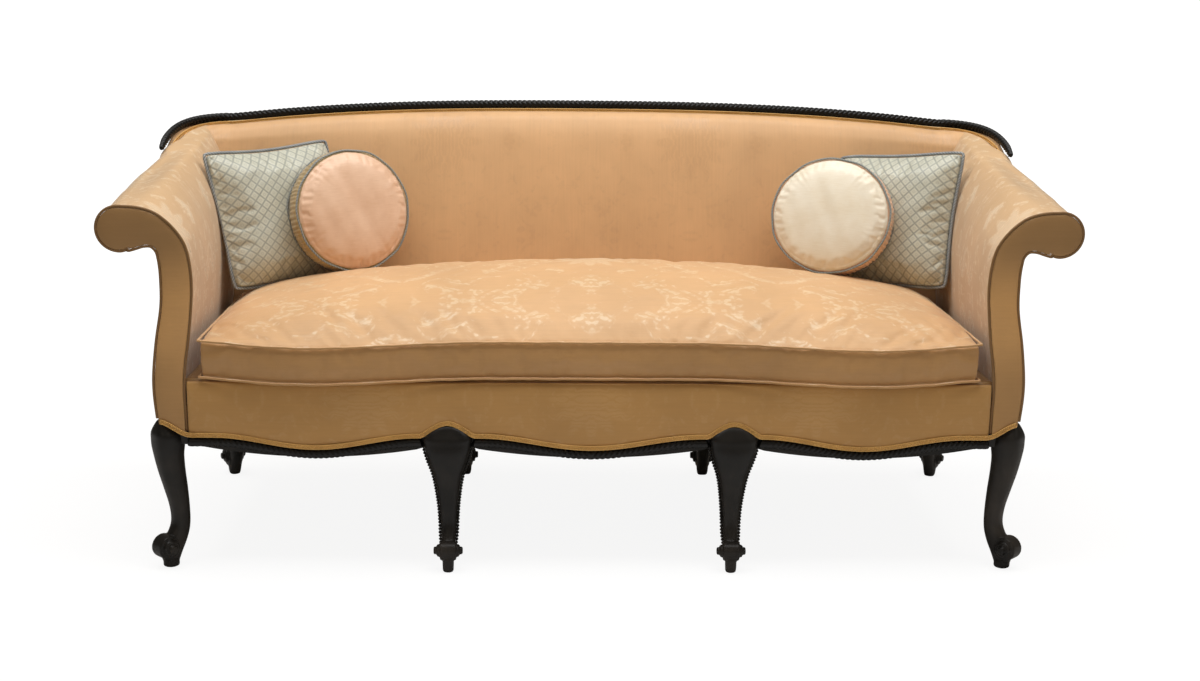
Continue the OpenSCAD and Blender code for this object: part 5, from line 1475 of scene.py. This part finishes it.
# Creases drawn out of the right front corner
corner = np.exp(-np.hypot(case_x - 760, case_y - 20) / 60)
drawn = np.sin((case_x * 0.75 + case_y * 0.5) * 0.17) * corner * 2.2 * ease(seam_gap / 14)
normal = np.empty(len(at) * 3)
case.vertex_normals.foreach_get("vector", normal)
normal = normal.reshape(-1, 3)
lift = puckers + (soft_hills + crown_rise) * is_top + drawn
lift = np.where(case_z < deck_at(case_y) + 6, 0, lift)
set_points(case, at + normal * (lift / 1000)[:, None])
seat = new_object("seat_cushion_case", case, "seat_cushion", damask_seat)
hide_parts("seat_cushion")
print("seat cushion:", len(case.polygons), "faces")

# %% Piping of the seat cushion
rings = []
for k, up in enumerate((PIPING_R * 2, BOXING_H)):
    ring = smooth_line(cushion_round(up, PIPING_R + GAP), 1300, closed=True)
    ring[:, 2] += waves(ring[:, 0] + ring[:, 1], 97 + k, 0.06) * 0.5
    rings.append(tube(f"ring_{k}", "seat_cushion", "damask_piping", ring, PIPING_R, damask_seat,
                      closed=True, around=10))
piping = join("seat_cushion_welt", "seat_cushion", rings, damask_seat)
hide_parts("seat_cushion_piping")

# %% [markdown]
# Four loose cushions lean in the corners. The square ones are pale blue silk woven in a lattice,
# with a twisted cord. The round ones are gathered: the silk of each face is drawn in along its
# edge, and the band between the two faces is pleated. They rest on the seat where the solids do.

# %% Places of the scatter cushions
SQUARE_W, SQUARE_T, ROUND_D, ROUND_BAND, ROUND_CROWN, CORD_R = 348.0, 104.0, 268.0, 64.0, 20.0, 4.0


def turned(p, turn):
    """A point of a cushion rolled, leant back and turned about Z, in degrees."""
    p = np.asarray(p, float)
    lean_back, about_z, roll = np.radians(turn)
    x = p[..., 0] * np.cos(roll) + p[..., 2] * np.sin(roll)
    z = p[..., 2] * np.cos(roll) - p[..., 0] * np.sin(roll)
    y = p[..., 1] * np.cos(lean_back) + z * np.sin(lean_back)
    z = z * np.cos(lean_back) - p[..., 1] * np.sin(lean_back)
    cos, sin = np.cos(about_z), np.sin(about_z)
    return np.stack([x * cos - y * sin, x * sin + y * cos, z], -1)


def square_edge(u, v):
    w = SQUARE_W / 2
    return np.stack([w * u * (1 - 0.09 * (1 - v ** 2)), w * v * (1 - 0.09 * (1 - u ** 2))], -1)


def square_thick(u, v):
    return CORD_R + (SQUARE_T / 2 - CORD_R) * np.maximum(0, (1 - u ** 4) * (1 - v ** 4)) ** 0.6


def seated(x, y, turn, feet, sink):
    """Where a turned cushion stands when the lowest of its feet meets the seat."""
    q = turned(feet, turn)
    return np.array([x, y, (seat_top(x + q[:, 0], y + q[:, 1]) - q[:, 2]).max() - sink])


foot_u = np.linspace(-1, 1, 9)
foot_edge = square_edge(foot_u, np.full(9, -1.0))
square_feet = np.stack([foot_edge[:, 0], np.zeros(9), foot_edge[:, 1] - 2 * CORD_R], 1)
foot_a = np.radians(np.arange(-60, 61, 15))
foot_arc = np.stack([np.sin(foot_a), 0 * foot_a, -np.cos(foot_a)], 1)
round_feet = np.vstack([(ROUND_D / 2 + 2 * CORD_R) * foot_arc + [0, s * ROUND_BAND / 2, 0]
                        for s in (-1, 1)])
# Place on the seat cushion or before the square cushion, in shares of it; turns; sinking in mm
SQUARE_PLACES = {"left": ((-0.8775, 0.9143), (17, 39, -2), -1.5),
                 "right": ((0.8734, 0.9288), (16, -36, -3), -1.6)}
ROUND_PLACES = {"left": ((0.3403, -0.3262, -0.1044), (14, 28, 0), 0.4),
                "right": ((-0.2766, -0.3435, -0.0658), (18, -22, 0), 0.3)}
cushion_at = {}
for word, (shares, turn, sink) in SQUARE_PLACES.items():
    here = seated(shares[0] * CUSHION_HALF, shares[1] * CUSHION_D, turn, square_feet, sink)
    cushion_at[f"{word}_square"] = (here, turn)
    round_shares, round_turn, round_sink = ROUND_PLACES[word]
    q = here + turned(np.array(round_shares) * SQUARE_W, turn)
    here = seated(q[0], q[1], round_turn, round_feet, round_sink)
    cushion_at[f"{word}_round"] = (here, round_turn)
print({k: [round(float(c), 1) for c in v[0]] for k, v in cushion_at.items()})

# %% Silks and cords


def silk(name, base, dark, figure=None, roughness=0.38, pitch=0.0152):
    """Plain silk, or silk with a woven lattice of diamonds and small flowers."""
    made, tree, shader, add = material(name)

    def calc(operation, a, b=0.0, c=0.0):
        return add("Math", {0: a, 1: b, 2: c}, operation=operation)[0]

    place = add("UVMap", uv_map="cloth")[0]
    split = add("SeparateXYZ", {0: place})
    grain = add("VectorMath", {0: place, 1: (30.0, 700.0, 1.0)}, operation="MULTIPLY")[0]
    slub = add("TexNoise", {"Vector": grain, "Scale": 1.0, "Detail": 3.0})[0]
    cloud = add("TexNoise", {"Vector": place, "Scale": 14.0, "Detail": 4.0, "Roughness": 0.6})[0]
    tone = calc("MULTIPLY_ADD", slub, 0.35, calc("MULTIPLY", cloud, 0.65))
    level = add("MapRange", {0: tone, 1: 0.3, 2: 0.65})[0]
    colour = add("Mix", {0: level, 6: (*dark, 1), 7: (*base, 1)}, data_type="RGBA")[2]
    height = calc("MULTIPLY", slub, 0.25)
    if figure:
        crossing = []
        for way in ("ADD", "SUBTRACT"):
            lattice = calc("DIVIDE", calc(way, split[0], split[1]), pitch * 1.4142)
            crossing.append(calc("ABSOLUTE", calc("SUBTRACT", calc("FRACT", lattice), 0.5)))
        from_a, from_b = crossing
        bar = add("MapRange", {0: calc("MAXIMUM", from_a, from_b), 1: 0.37, 2: 0.43})[0]
        apart = calc("SQRT", calc("ADD", calc("POWER", from_a, 2.0), calc("POWER", from_b, 2.0)))
        ring = calc("ABSOLUTE", calc("SUBTRACT", apart, 0.15))
        flower = add("MapRange", {0: ring, 1: 0.07, 2: 0.02})[0]
        ripple = add("TexNoise", {"Vector": place, "Scale": 60.0, "Detail": 2.0})[0]
        lines = calc("MAXIMUM", bar, calc("MULTIPLY", flower, 0.45))
        lines = calc("MULTIPLY", lines, calc("MULTIPLY_ADD", ripple, 0.5, 0.55))
        colour = add("Mix", {0: lines, 6: colour, 7: (*figure, 1)}, data_type="RGBA")[2]
        height = calc("MULTIPLY_ADD", lines, -0.5, height)
    rough = add("MapRange", {0: cloud, 1: 0.3, 2: 0.7, 3: roughness - 0.05, 4: roughness + 0.1})[0]
    bumped = add("Bump", {"Strength": 0.4, "Distance": 0.0012, "Height": height})["Normal"]
    fill(tree, shader, {"Base Color": colour, "Roughness": rough, "Normal": bumped,
                        "Sheen Weight": 0.3, "Sheen Roughness": 0.35, "Specular IOR Level": 0.5})
    return made


blue_silk = silk("blue_lattice_silk", (0.59, 0.58, 0.47), (0.46, 0.46, 0.38),
                 figure=(0.29, 0.30, 0.26), pitch=0.0182)
peach_silk = silk("peach_silk", (0.84, 0.58, 0.41), (0.70, 0.43, 0.27))
cream_silk = silk("cream_silk", (0.87, 0.81, 0.68), (0.76, 0.66, 0.49))
band_silk = silk("gold_silk", (0.56, 0.42, 0.22), (0.38, 0.27, 0.13))
blue_cord = thread("blue_cord", (0.50, 0.52, 0.50), (0.06, 0.07, 0.09), pitch=0.0078)
blue_green_cord = thread("blue_green_cord", (0.40, 0.42, 0.38), (0.12, 0.14, 0.15), pitch=0.0075)


def local_uv(mesh, points):
    """Cloth coordinates across a cushion's face, in metres."""
    uv = mesh.uv_layers.get("cloth") or mesh.uv_layers.new(name="cloth")
    corner = np.empty(len(mesh.loops), dtype=np.int32)
    mesh.loops.foreach_get("vertex_index", corner)
    flat = np.stack([points[corner, 0], points[corner, 2]], 1) / 1000
    uv.data.foreach_set("uv", np.ascontiguousarray(flat).ravel())


# %% Square cushions


def square_rows():
    steps = np.sin(np.linspace(-0.5, 0.5, 61) * math.pi) * 0.5 + np.linspace(-1, 1, 61) * 0.5
    rows = []
    for u in steps:
        edge, thick = square_edge(u, steps), square_thick(u, steps) * 0.9 + 0.4
        front = np.stack([edge[:, 0], -thick, edge[:, 1]], 1)
        rows.append(np.vstack([front, (front * [1, -1, 1])[::-1]]))
    return rows


# Which way the inner corners lie, and how far the top one moves aside and down
SLUMP = {"left": (1, -4.0, -6.0), "right": (-1, 20.0, -24.0)}


def slumped(p, word):
    """Rounds a square cushion's corners; the inner top one hangs, the outer foot is pushed up."""
    way, aside, down = SLUMP[word]
    u, v = np.clip(way * p[:, 0] / SQUARE_W * 2, -1, 1), np.clip(p[:, 2] / SQUARE_W * 2, -1, 1)
    weight = ((1 + u) / 2) ** 2 * ((1 + v) / 2) ** 2
    foot = ((1 - u) / 2) ** 3 * ((1 - v) / 2) ** 3
    corner = 8 * np.abs(u * v) ** 5
    drawn = np.stack([-way * np.sign(u) * corner, 0 * u, -np.sign(v) * corner], 1)
    return p + weight[:, None] * [aside, 0, down] + foot[:, None] * [way * 7, 0, 15] + drawn


side_u = np.linspace(-1, 1, 90)[:-1]
whole_u = np.full(89, 1.0)
square_line = np.vstack([square_edge(side_u, -whole_u), square_edge(whole_u, side_u),
                         square_edge(-side_u, whole_u), square_edge(-whole_u, -side_u)])
square_seam = metres(np.stack([square_line[:, 0], 0 * square_line[:, 0], square_line[:, 1]], 1))
for k, word in enumerate(("left", "right")):
    body = f"{word}_square"
    here, turn = cushion_at[body]
    case = sewn(skin_mesh("case", square_rows(), sew_columns=True, cap=True), 0.005,
                lambda at: gap_to(square_seam, at) < 0.009, 5.0, -0.035, 0.009)
    p = millimetres(points_of(case))
    gap = gap_to(square_seam, points_of(case)) * 1000
    facing_side = np.sign(p[:, 1])
    gathers = waves(p[:, 0] + p[:, 2] * 1.1, 101 + k, 0.09) * 1.1 * np.exp(-gap / 30)
    slack = waves(p[:, 0] * 0.8 - p[:, 2] * 1.2, 111 + k, 0.028) * 1.5 * ease(gap / 40)
    p[:, 1] += facing_side * (gathers + slack) * ease(np.abs(p[:, 1]) / 8)
    local_uv(case, p)
    set_points(case, metres(turned(slumped(p, word), turn) + here))
    square = new_object(f"{word}_square_case", case, body, blue_silk)
    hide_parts(f"{body}_cushion")
    line = smooth_line(square_line, 760, closed=True)
    out = side_of(np.vstack([line[-3:], line, line[:3]]))[3:-3]
    ring = line + out * (CORD_R + 0.6)
    ring = slumped(np.stack([ring[:, 0], 0 * ring[:, 0], ring[:, 1]], 1), word)
    rows = tube_rows(ring, CORD_R, around=14, up=(0, 1, 0), closed=True, strands=3, lay=22,
                     depth=0.22)
    cord = skin(f"{word}_square_rope", body, "blue_cord", turned(rows, turn) + here, blue_cord,
                sew_rows=True, sew_columns=True)
    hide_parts(f"{body}_cord")
print("square cushions:", len(case.polygons), "faces each")

# %% Round cushions
# Radius and height of a face, in shares
FACE = np.array([[0, 1], [0.35, 0.92], [0.62, 0.72], [0.82, 0.42], [0.95, 0.12], [1, -0.08]])


def round_rows():
    r, h = ROUND_D / 2, ROUND_BAND / 2
    face = smooth_line(FACE * [r, ROUND_CROWN], 40)
    front = np.stack([face[:, 0], -h - face[:, 1]], 1)
    profile = np.vstack([front, [[r * 0.985, 0]], (front * [1, -1])[::-1]])
    rows = []
    for a in np.linspace(0, 2 * math.pi, 180, endpoint=False):
        x, z = profile[:, 0] * math.cos(a), profile[:, 0] * math.sin(a)
        rows.append(np.stack([x, profile[:, 1], z], 1))
    return rows


PLUMP = {"left": (1.05, 1.075), "right": (1.07, 1.03)}


def plumped(p, word):
    """A round cushion stands a little taller and wider than its pattern, from its foot up."""
    wide, tall = PLUMP[word]
    foot = -ROUND_D / 2 - 2 * CORD_R
    return np.stack([p[..., 0] * wide, p[..., 1], foot + (p[..., 2] - foot) * tall], -1)


ring_a = np.linspace(0, 2 * math.pi, 360, endpoint=False)
circle = np.stack([np.cos(ring_a), 0 * ring_a, np.sin(ring_a)], 1)
round_seams = metres(np.vstack([circle * (ROUND_D / 2) + [0, s * ROUND_BAND / 2, 0]
                                for s in (-1, 1)]))
round_finish = {"left": (peach_silk, band_silk, "peach_silk"),
                "right": (cream_silk, peach_silk, "cream_silk")}
for k, word in enumerate(("left", "right")):
    body = f"{word}_round"
    here, turn = cushion_at[body]
    face_silk, side_silk, slot_name = round_finish[word]
    case = sewn(skin_mesh("case", round_rows(), sew_rows=True), 0.0045,
                lambda at: gap_to(round_seams, at) < 0.006, 6.0, -0.05, 0.010)
    p = millimetres(points_of(case))
    angle, radius = np.arctan2(p[:, 2], p[:, 0]), np.hypot(p[:, 0], p[:, 2])
    share = radius / (ROUND_D / 2)
    on_face = ease((np.abs(p[:, 1]) - ROUND_BAND / 2 + 2) / 4)
    rng = np.random.default_rng(121 + k)
    broad, narrow = (np.sin(angle * count + rng.uniform(0, 6)) for count in (3, 7))
    depth = np.clip(0.35 + broad * narrow, 0.05, 1.3)
    pleats = np.sin(angle * 38 + 3.0 * np.sin(angle * 5 + k))
    pleats = pleats + 0.6 * np.sin(angle * 23 + 3 * share + k)
    gathers = pleats * depth * 1.1 * np.clip(share, 0, 1) ** 6 * ease((1 - share) / 0.03)
    hollows = waves(p[:, 0] * 1.1 + p[:, 2] * 0.5, 131 + k, 0.035) * 1.8 * (1 - share ** 4)
    p[:, 1] += np.sign(p[:, 1]) * on_face * (gathers + hollows)
    middle = np.maximum(0, np.cos(p[:, 1] / ROUND_BAND * math.pi)) ** 0.5
    fold = np.sin(angle * 84 + 1.5 * np.sin(angle * 9)) * 1.3 * (1 - on_face) * middle
    grow = fold / np.maximum(radius, 1)
    p[:, 0] *= 1 + grow
    p[:, 2] *= 1 + grow
    local_uv(case, p)
    set_points(case, metres(turned(plumped(p, word), turn) + here))
    pad = new_object(f"{word}_round_case", case, body, face_silk)
    case.materials.append(side_silk)
    corner = np.array([poly.vertices[0] for poly in case.polygons])
    in_band = np.abs(p[corner, 1]) < ROUND_BAND / 2
    case.polygons.foreach_set("material_index", in_band.astype(np.int32))
    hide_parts(f"{body}_cushion")
    cords = []
    for s in (-1, 1):
        wobble = 1 + 0.006 * np.sin(ring_a * 7 + k) + 0.004 * np.sin(ring_a * 13 + s)
        line = circle * (ROUND_D / 2 + CORD_R * 0.5) * wobble[:, None] + [0, s * ROUND_BAND / 2, 0]
        rows = tube_rows(smooth_line(line, 420, closed=True), CORD_R * 0.6, around=12, up=(0, 1, 0),
                         closed=True, strands=3, lay=18, depth=0.22)
        cords.append(skin("cord", body, "blue_cord", turned(plumped(rows, word), turn) + here,
                          blue_green_cord, sew_rows=True, sew_columns=True))
    cord = join(f"{word}_round_rope", body, cords, blue_green_cord)
    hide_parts(f"{body}_cord")
print("round cushions:", len(case.polygons), "faces each")

# %% [markdown]
# Inside the sofa are the pieces that a restorer would find: beech rails, jute webbing and canvas,
# steel springs and screws. Their solids are right as they are, and only need their finishes.

# %% Finishes of the pieces inside


def woven(name, light, dark, pitch, roughness=0.9):
    made, tree, shader, add = material(name)
    place = add("TexCoord")["Object"]
    warp = add("TexWave", {"Vector": place, "Scale": 0.3 / pitch}, bands_direction="X")["Fac"]
    weft = add("TexWave", {"Vector": place, "Scale": 0.3 / pitch}, bands_direction="Y")["Fac"]
    cross = add("Math", {0: warp, 1: weft}, operation="MULTIPLY")[0]
    cloud = add("TexNoise", {"Vector": place, "Scale": 40.0, "Detail": 4.0})[0]
    mixed = add("Math", {0: cross, 1: cloud}, operation="ADD")[0]
    colour = add("Mix", {0: mixed, 6: (*dark, 1), 7: (*light, 1)}, data_type="RGBA")[2]
    bumped = add("Bump", {"Strength": 0.5, "Distance": 0.001, "Height": cross})["Normal"]
    fill(tree, shader, {"Base Color": colour, "Roughness": roughness, "Normal": bumped})
    return made


def metal(name, colour, roughness):
    made, tree, shader, add = material(name)
    place = add("TexCoord")["Object"]
    cloud = add("TexNoise", {"Vector": place, "Scale": 90.0, "Detail": 4.0})[0]
    dark = tuple(c * 0.6 for c in colour)
    tint = add("Mix", {0: cloud, 6: (*colour, 1), 7: (*dark, 1)}, data_type="RGBA")[2]
    rough = add("MapRange", {0: cloud, 3: roughness - 0.08, 4: roughness + 0.12})[0]
    fill(tree, shader, {"Base Color": tint, "Roughness": rough, "Metallic": 1.0})
    return made


jute = woven("jute", (0.50, 0.36, 0.20), (0.26, 0.17, 0.08), 0.004)
stuffing = woven("stuffing", (0.36, 0.25, 0.14), (0.16, 0.10, 0.05), 0.006)
black_cloth = woven("black_cloth", (0.035, 0.034, 0.033), (0.012, 0.012, 0.012), 0.0012)
steel = metal("steel", (0.42, 0.40, 0.38), 0.42)


def dress(finish, *names):
    for name in names:
        for place in nodes[name].material_slots:
            place.material = finish


dress(ebony, "front_rail")
dress(beech, "rear_rail", "left_side_rail", "right_side_rail", "corner_blocks", "cross_rails",
      "left_arm_rail", "right_arm_rail", "left_arm_tack_rail", "right_arm_tack_rail",
      "back_top_rail", "back_tack_rail")
dress(steel, "block_screws", "seat_springs")
dress(jute, "seat_webbing", "spring_hessian", "back_webbing")
dress(black_cloth, "dust_cover")

# %% [markdown]
# Under the covers of each arm are the post that carries the scroll, the roll of stuffing and the
# rail under the end of the crest. They follow the covers' own lines a little further in, so that
# none of them shows at the seams.

# %% Post, roll and wing rail inside each arm
POST_T, UNDER_COVER, UNDER_CREST = 30.0, 10.0, 11.0
for side, word in ((-1, "left"), (1, "right")):
    line = front_line[::5] + side_of(front_line)[::5] * UNDER_COVER
    line = line[line[:, 1] > RAIL_TOP]
    edge = np.vstack([[[line[0, 0], RAIL_TOP]], line, [[line[-1, 0], RAIL_TOP]]])
    board = bmesh.new()
    prism(board, [metres((side * x, RAIL_Y + GAP, z)) for x, z in edge], POST_T / 1000)
    post = new_object(f"{word}_post_board", to_mesh(board, "post"), "frame", beech)
    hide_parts(f"{word}_arm_post")

    turns, rolls, wings = np.radians(np.arange(0, 360, 12)), [], []
    for t in np.linspace(0.075, 0.6, 14):
        c, r = roll_mid(t), roll_r(t) - UNDER_COVER
        x, z = side * (c[0] + r * np.cos(turns)), c[1] + r * np.sin(turns)
        rolls.append(np.stack([x, np.full(30, arm_y(t, c[1])), z], 1))
    roll = skin(f"{word}_roll_stuffing", "frame", "stuffing", np.array(rolls), stuffing,
                sew_columns=True, cap=True)
    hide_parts(f"{word}_arm_roll")

    for a in (70, 60, 50, 40, 28, 16, 6):
        out, top = turn_out(a) * CREST_D, turn_at(a) - [0, 0, CREST_D + UNDER_CREST]
        low = top - [0, 0, CREST_D * 1.1]
        section = [top - out * 0.85, top - out * 0.5, low - out * 0.8, low - out * 0.9]
        wings.append(np.array(section) * [side, 1, 1])
    wing = skin(f"{word}_wing_board", "frame", "beech", np.array(wings), beech,
                sew_columns=True, cap=True)
    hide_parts(f"{word}_wing_rail")
print("post, roll and wing rail of each arm:",
      *(len(piece.data.polygons) for piece in (post, roll, wing)), "faces")
